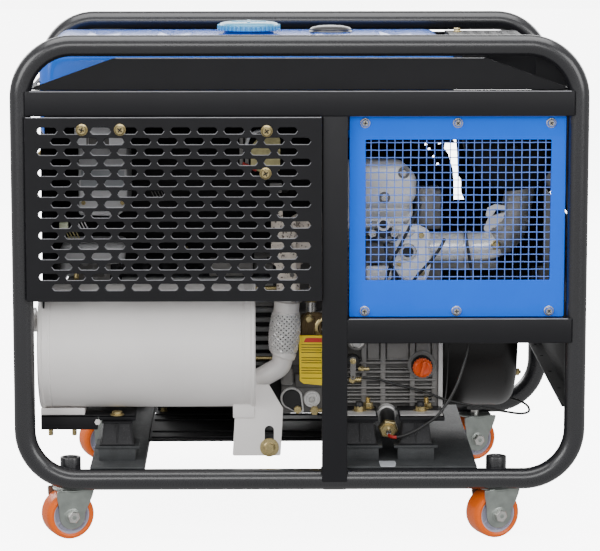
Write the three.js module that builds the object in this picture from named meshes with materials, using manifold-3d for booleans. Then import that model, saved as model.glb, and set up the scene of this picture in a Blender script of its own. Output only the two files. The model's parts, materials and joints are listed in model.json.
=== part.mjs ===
// Engine driven welder: an open tube frame on four casters that carries an air cooled V-twin
// diesel engine, a weld alternator, a fuel tank, a muffler and a control box.
// Units are millimetres, +Z is up, +X runs along the length, and the service side faces -Y.
// The origin is on the floor, under the middle of the frame.

import * as THREE from 'three';
import * as BufferGeometryUtils from 'three/addons/utils/BufferGeometryUtils.js';
import Module from 'manifold-3d';

const wasm = await Module();
wasm.setup();

// ---------------------------------------------------------------- driving dimensions

const GAP = 0.3; // clearance between pieces that touch

// Side loops of bent round tube.
const TUBE_RADIUS = 17;
const TUBE_SIDES = 10;
const LOOP_HALF_LENGTH = 445; // to the tube centre
const LOOP_BOTTOM = 101; // tube centre
const LOOP_TOP = 805; // tube centre
const LOOP_BEND = 83;
const LOOP_Y = 310;
const LOOP_JOINT = { x: 56, sleeve: 16 };

// Rails welded between the tubes of each loop.
const RAIL_FRONT = 329;
const RAIL_BACK = 303;
const TOP_RAIL = { bottom: 694, top: 734 };
const MID_RAIL = { bottom: 327.5, top: 367.5 };
const POST = { left: 35.5, right: 76.3, bottom: 99.5 };
const RAIL_END = 437;
const PANEL_LIP = 24; // height of the lips that the screens bolt to

// Guards on the service side.
const GUARD = { left: -437, right: 34.8, bottom: 398, top: 693, front: 337, depth: 9.5, sheet: 2 };
const SLOT = {
  length: 33.4, height: 12, pitchX: 42.3, pitchZ: 16.73, rows: 16, columns: 10, firstX: -401, firstZ: 672.3,
};
const SCREEN = { left: 79, right: 427, bottom: 368.5, top: 693.2, front: 313, sheet: 2.5 };
const WINDOW = { left: 105, right: 401.6, bottom: 428, top: 655 };
const MESH = { sheet: 2.4, overlap: 9 };
const END_PANEL = {
  outer: 452, sheet: 3, bottom: 216, top: 726, fold: 26, ventRows: 10, ventFirst: 270, ventPitch: 26,
  ventHeight: 9, ventStarts: [-185, 15], ventLength: 170,
};

// Casters.
const CASTERS = {
  near: { y: -283, left: -374, right: 321 },
  far: { y: 300.9, left: -350, right: 330 },
};
const CASTER_YAW = THREE.MathUtils.degToRad(22);
const CASTER_TRAIL = 6;
const WHEEL_RADIUS = 40;
const WHEEL_SIDES = 24;
const WHEEL_WIDTH = 40;
const WHEEL_BORE = 6;
const AXLE_HEIGHT = WHEEL_RADIUS * Math.cos(Math.PI / WHEEL_SIDES);
const AXLE_RADIUS = 5.5;
const FORK_SHEET = 3;
const FORK_TOP = 83.8;
const STEM_RADIUS = 8;
const STEM_BELOW_TOP = 4; // the stem stops short of the socket's upper end
const FORK = { crown: 30, crownSheet: 3, side: 32, chin: 26, clearance: 3, bridge: 24 };
const AXLE_END = { radius: 9, nut: 9, head: 7 };
const SOCKET = { radius: 16.8, bore: 9, bottom: 92, top: { near: 133, far: 118 } };

// Base plates.
const BASE_TOP = 122;
const BASE_SHEET = 3.7;
const LEFT_CROSS = { left: -341, right: -254 };
const RIGHT_CROSS = { left: 50, right: 288 };
const CROSS_HALF = 312;
const PAD_TOP = 146;
const MOUNT_SIZE = 60;
const MOUNT_DEPTH = 54;
const MOUNT_TOP = 186;
const MOUNT_Y = 235;
const MOUNT_X = { left: -299, middle: 100, right: 191 };
const BED = { near: -100, far: 120, bottom: 112 };
const SHELF = { left: -250, right: -10, sheet: 6 }; // carries the battery

// Crank line, shared by the engine, the fan and the alternator.
const AXIS_Y = 12;
const AXIS_Z = 320;

// Engine.
const CASE = { left: -30, right: 240, near: -170, far: 194, foot: 178, low: 48, high: 136, chamfer: 14 };
const LUG = { spans: [[66, 129], [164, 238]], sheet: 6.7 }; // reach out over the rubber mounts
const OIL_NECK = { x: 205, z: 262, radius: 16, length: 16 };
const OIL_CAP = { radius: 14, height: 13, grip: 19, gripHalf: 12, gripSheet: 5 };
const DECK_REACH = 130; // from the crank line to the cylinder deck
const CYLINDER_X = { near: 124, far: 96 };
const BARREL_LENGTH = 118;
const HEAD_LENGTH = 66;
const ROCKER_HEIGHT = 34;
const BARREL = { half: 46, head: [58, 50], fin: [60, 57], fins: 8, firstFin: 12, finPitch: 13, finSheet: 4 };
const ROCKER = { width: 104, depth: 70, corner: 18, bevel: 8 };
const INTAKE = {
  start: 184.6, y: -196, z: 466, radius: 24, bend: 52, corner: 348, endX: 366, endZ: 560,
  flange: 11, flangeHalf: 32,
};
const AIR_CLEANER = { x: 352, y: -206, z: 628, radius: 72, length: 222, chamfer: 6 };
const BLOWER = { left: 244, right: 370, radius: 160, wall: 3, mouth: 96, round: 26 };
const FAN = {
  left: 250, disc: 16, hub: 50, hubRadius: 60, radius: 138, blades: 12, blade: [62, 4, 84], bladeAt: 96,
};
const PUMP = {
  left: 3, right: 44, near: -196, bottom: 240, top: 352, neckX: 20, neckTop: 384, nose: [22, 262, 12],
};
const LEVER = { x: 90, z: 272, hub: 11, length: 16, arm: 32, armHalf: 4, armSheet: 5 };
const STARTER = {
  z: 262, left: 30, right: 168, radius: 37, noseEnd: 214, noseRadius: 30, lift: 58, solenoid: 24,
};
const SENDER = { x: 147, z: 182, drop: 0.25, radius: 12 }; // falls this much for each millimetre outward
const SHAFT_RADIUS = 16;

// Alternator.
const ALTERNATOR = { left: -404, bell: -318, right: -34, radius: 117, wall: 9, rotor: 84, skin: 6 };
const ALTERNATOR_RIBS = { count: 10, lowest: 72, pitch: 16, half: 3 };
const BELL_BEAM = 4.7; // thickness of the beam on the left rubber mounts

// Exhaust.
const MUFFLER = { left: -424, right: -72, radius: 102, lip: 105, y: -212, z: 306 };
const PIPE_Y = -214;
const FLEX = { x: -27, z: 289, length: 89, lean: 7 }; // leans this far over its length
const INLET = { startX: -86, startZ: 237, cornerX: -28.5, cornerZ: 270, bend: 34, radius: 17 };
const MANIFOLD = { riseX: -14, z: 508, portX: 52, bend: 34, radius: 19, flange: 27 };
const ARM = { left: -424, near: -250, far: -184, drop: 5.5, sheet: 4, flange: 24.5, flangeEnd: -331 };
const STRAP = { left: -424, right: -352 };
const BRACKET = {
  near: -252, far: -248.5, bottom: 127, slot: [-57, -42, 134, 177], footLeft: -78, footRight: -36,
};
const TAB = { left: -109, right: -74, bottom: 190, top: 218, sheet: 3.5 };

// Tank and hood.
const TANK = { left: -422, right: 252, half: 232, bottom: 646, top: 797 };
const TRAY = { half: 308, end: 438, sheet: 3, top: 779.5, shoulder: 297 };
const TANK_BEVEL = 22;
const NECK_RADIUS = 41;
const CAP = { x: -83, y: 100, radius: 55, bottom: 802, top: 817 };
const HOOD = { left: 264, right: 424, half: 222, top: 793, sheet: 2, waistX: 414, waistZ: 768, shoulder: 392 };
const HOOD_VENT = { count: 5, first: 290, pitch: 22, width: 11, rows: [[120, 150], [165, 195]] };

// Control box on the far side.
const BOX = { left: -424, right: 31, near: 150, far: 306, bottom: 394, top: 640, panelTop: 688, wall: 2.5 };
const PANEL_FRONT = 312;
const FAR_FRONT = 337; // how far the knob stands out, level with the guard on the other side
const TOGGLE = { x: -290, z: 470, hinge: 309, width: 12, height: 8, opening: 22, reach: 19 };
const KNOB = { x: -110, z: 520, radius: 24 };
const KEY = { x: -370, z: 470, radius: 9, stem: 8, bowStart: 6, bowEnd: 22, bowHalf: 10, bowSheet: 4 };
const RECTIFIER = { left: -372, right: -290, near: -30, bottom: 494, top: 639 };
const BATTERY = {
  left: -248, right: -38, near: 152, far: 286, top: 296, posts: [-220, -66], postY: 176, postHalf: 10,
};

// ---------------------------------------------------------------- materials

const finish = {
  frame: { color: 0x1b1c20, roughness: 0.55, metalness: 0.3 },
  blue: { color: 0x1f6fe0, roughness: 0.35, metalness: 0.1 },
  silver: { color: 0xb9b7b2, roughness: 0.45, metalness: 0.8 },
  casting: { color: 0x6d6d6b, roughness: 0.6, metalness: 0.7 },
  zinc: { color: 0x8d9690, roughness: 0.4, metalness: 0.9 },
  tyre: { color: 0xf2711c, roughness: 0.4, metalness: 0 },
  rubber: { color: 0x222222, roughness: 0.85, metalness: 0 },
  plastic: { color: 0x151515, roughness: 0.5, metalness: 0 },
  orange: { color: 0xe0521c, roughness: 0.45, metalness: 0 },
  brass: { color: 0xb08a3c, roughness: 0.35, metalness: 0.9 },
};

// ---------------------------------------------------------------- solids

function solid(geometry) {
  const bare = geometry.index ? geometry.toNonIndexed() : geometry.clone();
  bare.deleteAttribute('normal');
  bare.deleteAttribute('uv');
  const merged = BufferGeometryUtils.mergeVertices(bare, 1e-4);
  return new wasm.Manifold(new wasm.Mesh({
    numProp: 3,
    vertProperties: new Float32Array(merged.attributes.position.array),
    triVerts: new Uint32Array(merged.index.array),
  }));
}

function geometryOf(manifold) {
  const mesh = manifold.getMesh();
  const geometry = new THREE.BufferGeometry();
  geometry.setAttribute('position', new THREE.BufferAttribute(new Float32Array(mesh.vertProperties), 3));
  geometry.setIndex(new THREE.BufferAttribute(new Uint32Array(mesh.triVerts), 1));
  return geometry;
}

function joined(...pieces) {
  return pieces.reduce((whole, piece) => whole.add(piece));
}

function cut(body, ...tools) {
  return tools.reduce((whole, tool) => whole.subtract(tool), body);
}

// A box from its lowest and highest corners.
function block(x0, x1, y0, y1, z0, z1) {
  const geometry = new THREE.BoxGeometry(x1 - x0, y1 - y0, z1 - z0);
  geometry.translate((x0 + x1) / 2, (y0 + y1) / 2, (z0 + z1) / 2);
  return solid(geometry);
}

// A cylinder from one point to another.
function rod(from, to, radius, sides = 16, endRadius = radius) {
  const a = new THREE.Vector3(...from);
  const b = new THREE.Vector3(...to);
  const along = b.clone().sub(a);
  const geometry = new THREE.CylinderGeometry(endRadius, radius, along.length(), sides);
  const turn = new THREE.Quaternion().setFromUnitVectors(new THREE.Vector3(0, 1, 0), along.normalize());
  geometry.applyQuaternion(turn);
  geometry.translate(...a.add(b).multiplyScalar(0.5).toArray());
  return solid(geometry);
}

// A turned piece: profile points are [radius, height], turned about Z.
function turned(profile, sides, matrix = new THREE.Matrix4()) {
  const points = profile.map(([radius, height]) => new THREE.Vector2(radius, height));
  const geometry = new THREE.LatheGeometry(points, sides);
  geometry.rotateX(Math.PI / 2);
  geometry.applyMatrix4(matrix);
  return solid(geometry);
}

// Places a piece turned about Z so that its axis runs along +X from (x, y, z).
function alongX(x, y, z) {
  return new THREE.Matrix4().makeTranslation(x, y, z).multiply(new THREE.Matrix4().makeRotationY(Math.PI / 2));
}

// Places a piece turned about Z so that its axis runs along -Y from (x, y, z).
function alongMinusY(x, y, z) {
  return new THREE.Matrix4().makeTranslation(x, y, z).multiply(new THREE.Matrix4().makeRotationX(Math.PI / 2));
}

// Places a piece turned about Z so that its axis runs along +Y from (x, y, z).
function alongPlusY(x, y, z) {
  return new THREE.Matrix4().makeTranslation(x, y, z).multiply(new THREE.Matrix4().makeRotationX(-Math.PI / 2));
}

// An outline in X and Z, given thickness from y0 to y1.
function plateXZ(outline, y0, y1) {
  const shape = new THREE.Shape(outline.map(([x, z]) => new THREE.Vector2(x, z)));
  const geometry = new THREE.ExtrudeGeometry(shape, { depth: y1 - y0, bevelEnabled: false });
  geometry.rotateX(Math.PI / 2);
  geometry.translate(0, y1, 0);
  return solid(geometry);
}

// An outline in Y and Z, given length from x0 to x1.
function barYZ(outline, x0, x1) {
  const shape = new THREE.Shape(outline.map(([y, z]) => new THREE.Vector2(y, z)));
  const geometry = new THREE.ExtrudeGeometry(shape, { depth: x1 - x0, bevelEnabled: false });
  geometry.applyMatrix4(new THREE.Matrix4().makeBasis(
    new THREE.Vector3(0, 1, 0), new THREE.Vector3(0, 0, 1), new THREE.Vector3(1, 0, 0)));
  geometry.translate(x0, 0, 0);
  return solid(geometry);
}

function roundedRectangle(width, height, radius) {
  const x = width / 2;
  const y = height / 2;
  const shape = new THREE.Shape();
  shape.moveTo(-x + radius, -y);
  shape.lineTo(x - radius, -y);
  shape.absarc(x - radius, -y + radius, radius, -Math.PI / 2, 0);
  shape.lineTo(x, y - radius);
  shape.absarc(x - radius, y - radius, radius, 0, Math.PI / 2);
  shape.lineTo(-x + radius, y);
  shape.absarc(-x + radius, y - radius, radius, Math.PI / 2, Math.PI);
  shape.lineTo(-x, -y + radius);
  shape.absarc(-x + radius, -y + radius, radius, Math.PI, 1.5 * Math.PI);
  return shape;
}

// A path whose stations are used exactly as given, so that straight runs need no extra steps.
class StationPath extends THREE.Curve {
  constructor(points, tangents) {
    super();
    this.points = points;
    this.tangents = tangents;
  }

  at(list, u) {
    return list[Math.round(u * (list.length - 1))].clone();
  }

  getPoint(u) {
    return this.at(this.points, u);
  }

  getPointAt(u) {
    return this.at(this.points, u);
  }

  getTangent(u) {
    return this.at(this.tangents, u);
  }

  getTangentAt(u) {
    return this.at(this.tangents, u);
  }
}

function polygonShape(radius, sides) {
  const points = [];
  for (let i = 0; i < sides; i += 1) {
    const angle = (2 * Math.PI * (i + 0.5)) / sides;
    points.push(new THREE.Vector2(radius * Math.cos(angle), radius * Math.sin(angle)));
  }
  return new THREE.Shape(points);
}

function swept(path, radius, sides, steps) {
  return solid(new THREE.ExtrudeGeometry(polygonShape(radius, sides), {
    extrudePath: path,
    steps,
    bevelEnabled: false,
  }));
}

// A tube through a few corner points, with each inner corner bent to the given radius.
function bentTube(corners, bend, radius, sides, bendSteps = 5) {
  const nodes = corners.map((corner) => new THREE.Vector3(...corner));
  const points = [nodes[0]];
  const tangents = [nodes[1].clone().sub(nodes[0]).normalize()];
  for (let i = 1; i < nodes.length - 1; i += 1) {
    const before = nodes[i].clone().sub(nodes[i - 1]).normalize();
    const after = nodes[i + 1].clone().sub(nodes[i]).normalize();
    const turn = before.angleTo(after);
    const setback = bend * Math.tan(turn / 2);
    const start = nodes[i].clone().addScaledVector(before, -setback);
    const side = after.clone().addScaledVector(before, -after.dot(before)).normalize();
    for (let k = 0; k <= bendSteps; k += 1) {
      const angle = (turn * k) / bendSteps;
      points.push(start.clone().addScaledVector(before, bend * Math.sin(angle))
        .addScaledVector(side, bend * (1 - Math.cos(angle))));
      tangents.push(before.clone().multiplyScalar(Math.cos(angle)).addScaledVector(side, Math.sin(angle)));
    }
  }
  points.push(nodes[nodes.length - 1]);
  tangents.push(tangents[tangents.length - 1].clone());
  return swept(new StationPath(points, tangents), radius, sides, points.length - 1);
}

// A thin cable through hand-placed points.
function cable(route, radius, steps) {
  const points = route.map((point) => new THREE.Vector3(...point));
  const path = new THREE.CatmullRomCurve3(points, false, 'centripetal');
  return swept(path, radius, 8, steps);
}

// ---------------------------------------------------------------- scene graph

const group = new THREE.Group();

function place(name, manifold, look, parent = group) {
  const mesh = new THREE.Mesh(geometryOf(manifold), new THREE.MeshStandardMaterial(finish[look]));
  mesh.name = name;
  parent.add(mesh);
  return mesh;
}

// ---------------------------------------------------------------- frame

// One closed loop of tube. Its two ends meet inside a short sleeve behind the foot of the post.
function loopTube(y, radius) {
  const { x, sleeve } = LOOP_JOINT;
  const tube = bentTube([
    [x, y, LOOP_BOTTOM], [-LOOP_HALF_LENGTH, y, LOOP_BOTTOM], [-LOOP_HALF_LENGTH, y, LOOP_TOP],
    [LOOP_HALF_LENGTH, y, LOOP_TOP], [LOOP_HALF_LENGTH, y, LOOP_BOTTOM], [x + 1, y, LOOP_BOTTOM],
  ], LOOP_BEND, radius, TUBE_SIDES);
  return joined(tube, rod([x - sleeve, y, LOOP_BOTTOM], [x + sleeve, y, LOOP_BOTTOM], radius + 0.6, 16));
}

// The loop grown by the gap, to cope what is welded to it.
const loopClearance = {
  near: loopTube(-LOOP_Y, TUBE_RADIUS + GAP),
  far: loopTube(LOOP_Y, TUBE_RADIUS + GAP),
};

function sideLoop(side) {
  const depth = side < 0 ? 'near' : 'far';
  const { y, left, right } = CASTERS[depth];
  const top = SOCKET.top[depth];
  let loop = loopTube(side * LOOP_Y, TUBE_RADIUS);
  for (const x of [left, right]) {
    const sleeve = rod([x, y, SOCKET.bottom], [x, y, top], SOCKET.radius, 16);
    const bore = rod([x, y, LOOP_BOTTOM - TUBE_RADIUS - 1], [x, y, top + 1], SOCKET.bore, 16);
    loop = cut(joined(loop, sleeve), bore);
  }
  return loop;
}

// Top rail, centre post and mid rail of one side, with lips behind the screens.
function sideRails(side, clearance, lips) {
  const span = (x0, x1, front, back, z0, z1) => (side < 0
    ? block(x0, x1, -front, -back, z0, z1)
    : block(x0, x1, back, front, z0, z1));
  const lipFront = SCREEN.front - SCREEN.sheet - GAP;
  const pieces = [
    span(-RAIL_END, RAIL_END, RAIL_FRONT, RAIL_BACK, TOP_RAIL.bottom, TOP_RAIL.top),
    span(POST.left, POST.right, RAIL_FRONT, RAIL_BACK, POST.bottom, TOP_RAIL.bottom),
    span(POST.right, RAIL_END, RAIL_FRONT, RAIL_BACK, MID_RAIL.bottom, MID_RAIL.top),
  ];
  if (lips) {
    pieces.push(span(POST.right, RAIL_END, lipFront, RAIL_BACK, TOP_RAIL.bottom - PANEL_LIP, TOP_RAIL.bottom));
    pieces.push(span(POST.right, RAIL_END, lipFront, RAIL_BACK, MID_RAIL.top, MID_RAIL.top + PANEL_LIP));
  }
  return cut(joined(...pieces), clearance);
}

function buildFrame() {
  place('near_frame_loop', sideLoop(-1), 'frame');
  place('far_frame_loop', sideLoop(1), 'frame');
  place('near_side_rails', sideRails(-1, loopClearance.near, true), 'frame');
  place('far_side_rails', sideRails(1, loopClearance.far, false), 'frame');
}

// A plate across both loops with the raised pads for the rubber mounts.
function crossmember(span, mounts) {
  const pieces = [block(span.left, span.right, -CROSS_HALF, CROSS_HALF, BASE_TOP - BASE_SHEET, BASE_TOP)];
  for (const x of mounts) {
    for (const side of [-1, 1]) {
      const y = side * MOUNT_Y;
      pieces.push(block(x - MOUNT_SIZE / 2, x + MOUNT_SIZE / 2, y - MOUNT_DEPTH / 2, y + MOUNT_DEPTH / 2,
        BASE_TOP - 1, PAD_TOP));
    }
  }
  const room = (y0, y1) => block(POST.left - GAP, POST.right + GAP, y0, y1, BASE_TOP - 10, BASE_TOP + 1);
  const edge = CROSS_HALF + 1;
  return cut(joined(...pieces), room(-edge, GAP - RAIL_BACK), room(RAIL_BACK - GAP, edge));
}

function rubberMount(x, y) {
  const width = MOUNT_SIZE - 6;
  const depth = MOUNT_DEPTH - 4;
  const shape = roundedRectangle(width, depth, 5);
  const geometry = new THREE.ExtrudeGeometry(shape, {
    depth: MOUNT_TOP - PAD_TOP - 2 * GAP,
    bevelEnabled: false,
    curveSegments: 2,
  });
  geometry.translate(x, y, PAD_TOP + GAP);
  return solid(geometry);
}

function buildBase() {
  place('left_crossmember', crossmember(LEFT_CROSS, [MOUNT_X.left]), 'frame');
  place('right_crossmember', crossmember(RIGHT_CROSS, [MOUNT_X.middle, MOUNT_X.right]), 'frame');
  const bed = block(LEFT_CROSS.right + GAP, RIGHT_CROSS.left - GAP, BED.near, BED.far, BED.bottom, BASE_TOP);
  const shelf = block(SHELF.left, SHELF.right, BED.far - 1, LOOP_Y - TUBE_RADIUS - GAP, BASE_TOP - SHELF.sheet,
    BASE_TOP);
  place('engine_bed', joined(bed, shelf), 'frame');
  for (const [name, x] of Object.entries(MOUNT_X)) {
    place(`near_${name}_rubber_mount`, rubberMount(x, -MOUNT_Y), 'rubber');
    place(`far_${name}_rubber_mount`, rubberMount(x, MOUNT_Y), 'rubber');
  }
}

// ---------------------------------------------------------------- tank, tray and hood

function trayPlate(side) {
  const base = TOP_RAIL.top + GAP;
  const outline = [
    [-TRAY.end, base], [TRAY.end, base], [TRAY.shoulder, TRAY.top], [-TRAY.shoulder, TRAY.top],
  ];
  const outer = side * TRAY.half;
  const inner = side * (TRAY.half - TRAY.sheet);
  return plateXZ(outline, Math.min(outer, inner), Math.max(outer, inner));
}

function tankTray() {
  const base = TOP_RAIL.top + GAP;
  const floor = block(-TRAY.end, TRAY.end, -TRAY.half, TRAY.half, base, base + TRAY.sheet);
  const opening = block(TANK.left - 4, TANK.right + 4, -TANK.half - 4, TANK.half + 4, base - 1, base + 5);
  const endOpening = block(TANK.right + 40, TRAY.end - 30, -TANK.half + 8, TANK.half - 8, base - 1, base + 5);
  return cut(joined(floor, trayPlate(-1), trayPlate(1)),
    opening, endOpening, loopClearance.near, loopClearance.far);
}

function tank() {
  const bevel = TANK_BEVEL;
  const width = TANK.right - TANK.left - 2 * bevel;
  const shape = roundedRectangle(width, 2 * (TANK.half - bevel), 20);
  const geometry = new THREE.ExtrudeGeometry(shape, {
    depth: TANK.top - TANK.bottom - 2 * bevel,
    bevelThickness: bevel,
    bevelSize: bevel,
    bevelSegments: 2,
    curveSegments: 3,
  });
  geometry.translate((TANK.left + TANK.right) / 2, 0, TANK.bottom + bevel);
  const neck = rod([CAP.x, CAP.y, TANK.top - 3], [CAP.x, CAP.y, CAP.bottom - GAP], NECK_RADIUS, 24);
  return joined(solid(geometry), neck);
}

function fuelCap() {
  const profile = [
    [0, CAP.bottom], [CAP.radius - 4, CAP.bottom], [CAP.radius, CAP.bottom + 3], [CAP.radius, CAP.bottom + 9],
    [CAP.radius - 7, CAP.top - 2], [20, CAP.top], [0, CAP.top],
  ];
  return turned(profile, 24, new THREE.Matrix4().makeTranslation(CAP.x, CAP.y, 0));
}

// A vented sheet hood beside the tank, with a sloped outer end.
function airHood() {
  const z0 = TOP_RAIL.top + GAP + TRAY.sheet + GAP;
  const { left, right, half, top, sheet, waistX, waistZ, shoulder } = HOOD;
  const outline = (inset, base) => [
    [left + inset, base], [right - inset, base], [waistX - inset, waistZ - inset],
    [shoulder - inset, top - inset], [left + inset, top - inset],
  ];
  const outside = plateXZ(outline(0, z0), -half, half);
  const inside = plateXZ(outline(sheet, z0 - 1), -half + sheet, half - sheet);
  const vents = [];
  for (let i = 0; i < HOOD_VENT.count; i += 1) {
    const x = HOOD_VENT.first + i * HOOD_VENT.pitch;
    for (const [y0, y1] of HOOD_VENT.rows) {
      vents.push(block(x, x + HOOD_VENT.width, y0, y1, top - sheet - 1, top + 1));
    }
  }
  return cut(outside, inside, ...vents);
}

function buildTank() {
  place('tank_tray', tankTray(), 'frame');
  place('fuel_tank', tank(), 'blue');
  place('fuel_cap', fuelCap(), 'blue');
  place('air_hood', airHood(), 'frame');
}

// ---------------------------------------------------------------- guards and end panel

function perforatedGuard() {
  const { left, right, bottom, top, front, depth, sheet } = GUARD;
  const back = -front + depth;
  const slots = [];
  for (let row = 0; row < SLOT.rows; row += 1) {
    const shift = row % 2 === 0 ? 0 : SLOT.pitchX / 2;
    for (let column = 0; column < SLOT.columns; column += 1) {
      const x = SLOT.firstX + shift + column * SLOT.pitchX;
      const z = SLOT.firstZ - row * SLOT.pitchZ;
      slots.push(block(x - SLOT.length / 2, x + SLOT.length / 2, -front - 1, -front + sheet + 1,
        z - SLOT.height / 2, z + SLOT.height / 2));
    }
  }
  return cut(
    block(left, right, -front, back, bottom, top),
    block(left + sheet, right - sheet, -front + sheet, back + 1, bottom + sheet, top - sheet),
    ...slots);
}

function meshGuardFrame() {
  const { left, right, bottom, top, front, sheet } = SCREEN;
  const plate = block(left, right, -front, -front + sheet, bottom, top);
  const opening = block(WINDOW.left, WINDOW.right, -front - 1, -front + sheet + 1, WINDOW.bottom, WINDOW.top);
  return cut(plate, opening, loopClearance.near);
}

function guardMesh() {
  const { sheet, overlap } = MESH;
  const face = -SCREEN.front + SCREEN.sheet + GAP;
  return block(WINDOW.left - overlap, WINDOW.right + overlap, face, face + sheet,
    WINDOW.bottom - overlap, WINDOW.top + overlap);
}

// The sheet that closes the fan end between the two loops, with a folded lower edge.
function rightEndPanel() {
  const half = LOOP_Y - TUBE_RADIUS - GAP;
  const { outer, sheet, bottom, top, fold: foldWidth } = END_PANEL;
  const face = block(outer - sheet, outer, -half, half, bottom, top);
  const fold = block(outer - foldWidth, outer, -half, half, bottom, bottom + sheet);
  const vents = [];
  for (let row = 0; row < END_PANEL.ventRows; row += 1) {
    const z = END_PANEL.ventFirst + row * END_PANEL.ventPitch;
    for (const y of END_PANEL.ventStarts) {
      vents.push(block(outer - sheet - 1, outer + 1, y, y + END_PANEL.ventLength, z, z + END_PANEL.ventHeight));
    }
  }
  return cut(joined(face, fold), ...vents);
}

function buildGuards() {
  place('perforated_guard', perforatedGuard(), 'frame');
  place('mesh_guard_frame', meshGuardFrame(), 'blue');
  place('guard_wire_mesh', guardMesh(), 'blue');
  place('right_end_panel', rightEndPanel(), 'frame');
}

// ---------------------------------------------------------------- exhaust

// Bend from the end of the muffler up to the flexible pipe.
function mufflerInlet(radius) {
  const { startX, startZ, cornerX, cornerZ, bend } = INLET;
  return bentTube([[startX, PIPE_Y, startZ], [cornerX, PIPE_Y, cornerZ], [FLEX.x, PIPE_Y, FLEX.z]],
    bend, radius, 12, 4);
}

// A point on the axis of the flexible pipe, at a distance above its lower end.
function flexPoint(distance) {
  const along = new THREE.Vector3(FLEX.lean, 0, FLEX.length).normalize();
  return new THREE.Vector3(FLEX.x, PIPE_Y, FLEX.z).addScaledVector(along, distance).toArray();
}

function muffler() {
  const { left, right, radius, lip } = MUFFLER;
  const length = right - left;
  const profile = [
    [0, 8], [radius - 8, 8], [radius - 6, 0], [lip, 0], [lip, 7], [radius, 10],
    [radius, length - 10], [lip, length - 7], [lip, length], [radius - 6, length], [radius - 8, length - 8],
    [0, length - 8],
  ];
  const shell = turned(profile, 28, alongX(left, MUFFLER.y, MUFFLER.z));
  // Tab under the right end that laps over the sheet bracket.
  const tab = block(TAB.left, TAB.right, BRACKET.near - GAP - TAB.sheet, BRACKET.near - GAP,
    TAB.bottom, TAB.top);
  return joined(shell, mufflerInlet(INLET.radius), tab);
}

function flexPipe() {
  const profile = [
    [0, 0], [20, 0], [21, 8], [25, 22], [25.5, 44], [23, 62], [20.5, 72], [20.5, FLEX.length], [0, FLEX.length],
  ];
  const lean = new THREE.Matrix4().makeRotationY(Math.atan2(FLEX.lean, FLEX.length));
  return turned(profile, 16, new THREE.Matrix4().makeTranslation(...flexPoint(GAP)).multiply(lean));
}

// Down pipe from the exhaust port of the near cylinder head to the flexible pipe.
function exhaustManifold() {
  const start = FLEX.length + 2 * GAP;
  const { riseX, z, portX, bend, radius, flange: flangeRadius } = MANIFOLD;
  const flange = rod(flexPoint(start), flexPoint(start + 10), flangeRadius, 12);
  const pipe = bentTube([flexPoint(start + 5), [riseX, PIPE_Y, z], [portX, PIPE_Y + 6, z]],
    bend, radius, 12, 5);
  const port = block(portX - 4, portX + 10.5, PIPE_Y - 22, PIPE_Y + 34, z - 26, z + 26);
  return joined(flange, pipe, port);
}

function buildExhaust() {
  place('muffler', muffler(), 'silver');
  place('exhaust_flex_pipe', flexPipe(), 'silver');
  place('exhaust_manifold', exhaustManifold(), 'silver');
  // Angle arm under the left end of the muffler, standing on the left rubber mount.
  const armTop = MUFFLER.z - MUFFLER.lip - ARM.drop;
  const armRight = MOUNT_X.left + MOUNT_SIZE / 2;
  const arm = joined(
    block(ARM.left, armRight, ARM.near, ARM.far, armTop - ARM.sheet, armTop),
    block(ARM.left, ARM.flangeEnd, ARM.near, ARM.near + ARM.sheet, armTop - ARM.flange, armTop),
    block(armRight - MOUNT_SIZE, armRight, ARM.near, ARM.near + 3 * ARM.sheet, MOUNT_TOP + GAP, armTop));
  const strap = block(STRAP.left, STRAP.right, ARM.near + 10, ARM.far, armTop - 1,
    MUFFLER.z - MUFFLER.lip - GAP);
  place('muffler_support_arm', joined(arm, strap), 'frame');
  // Sheet bracket under the right end, cut by a long slot for its bolt.
  const { near, far, bottom, slot, footLeft, footRight } = BRACKET;
  const outline = [[-50, 246], [-27, 206], [-29, 163], [-31, bottom], [-110, bottom], [-106, 192], [-92, 246]];
  const [slotLeft, slotRight, slotBottom, slotTop] = slot;
  const plate = cut(plateXZ(outline, near, far),
    block(slotLeft, slotRight, near - 1, far + 1, slotBottom, slotTop));
  const foot = block(footLeft, footRight, far - GAP, BED.near - 1, bottom, bottom + 4);
  const drop = block(footLeft, footRight, BED.near - 5, BED.near - GAP, BED.bottom + 2, bottom + 4);
  const clearPipe = mufflerInlet(INLET.radius + 2 * GAP);
  const clearMuffler = rod([MUFFLER.left - 16, MUFFLER.y, MUFFLER.z], [MUFFLER.right + 12, MUFFLER.y, MUFFLER.z],
    MUFFLER.lip + 2 * GAP, 28);
  place('muffler_bracket', cut(joined(plate, foot, drop), clearPipe, clearMuffler), 'silver');
}

// ---------------------------------------------------------------- engine

// Direction of a cylinder: side -1 leans to the service side, side 1 away from it.
function cylinderMatrix(side, x) {
  const lean = new THREE.Matrix4().makeRotationX((side * -Math.PI) / 4);
  return new THREE.Matrix4().makeTranslation(x, AXIS_Y, AXIS_Z).multiply(lean);
}

function onCylinder(side, x, x0, x1, y0, y1, z0, z1) {
  const geometry = new THREE.BoxGeometry(x1 - x0, y1 - y0, z1 - z0);
  geometry.translate((x0 + x1) / 2, (y0 + y1) / 2, (z0 + z1) / 2);
  geometry.applyMatrix4(cylinderMatrix(side, x));
  return solid(geometry);
}

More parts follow.
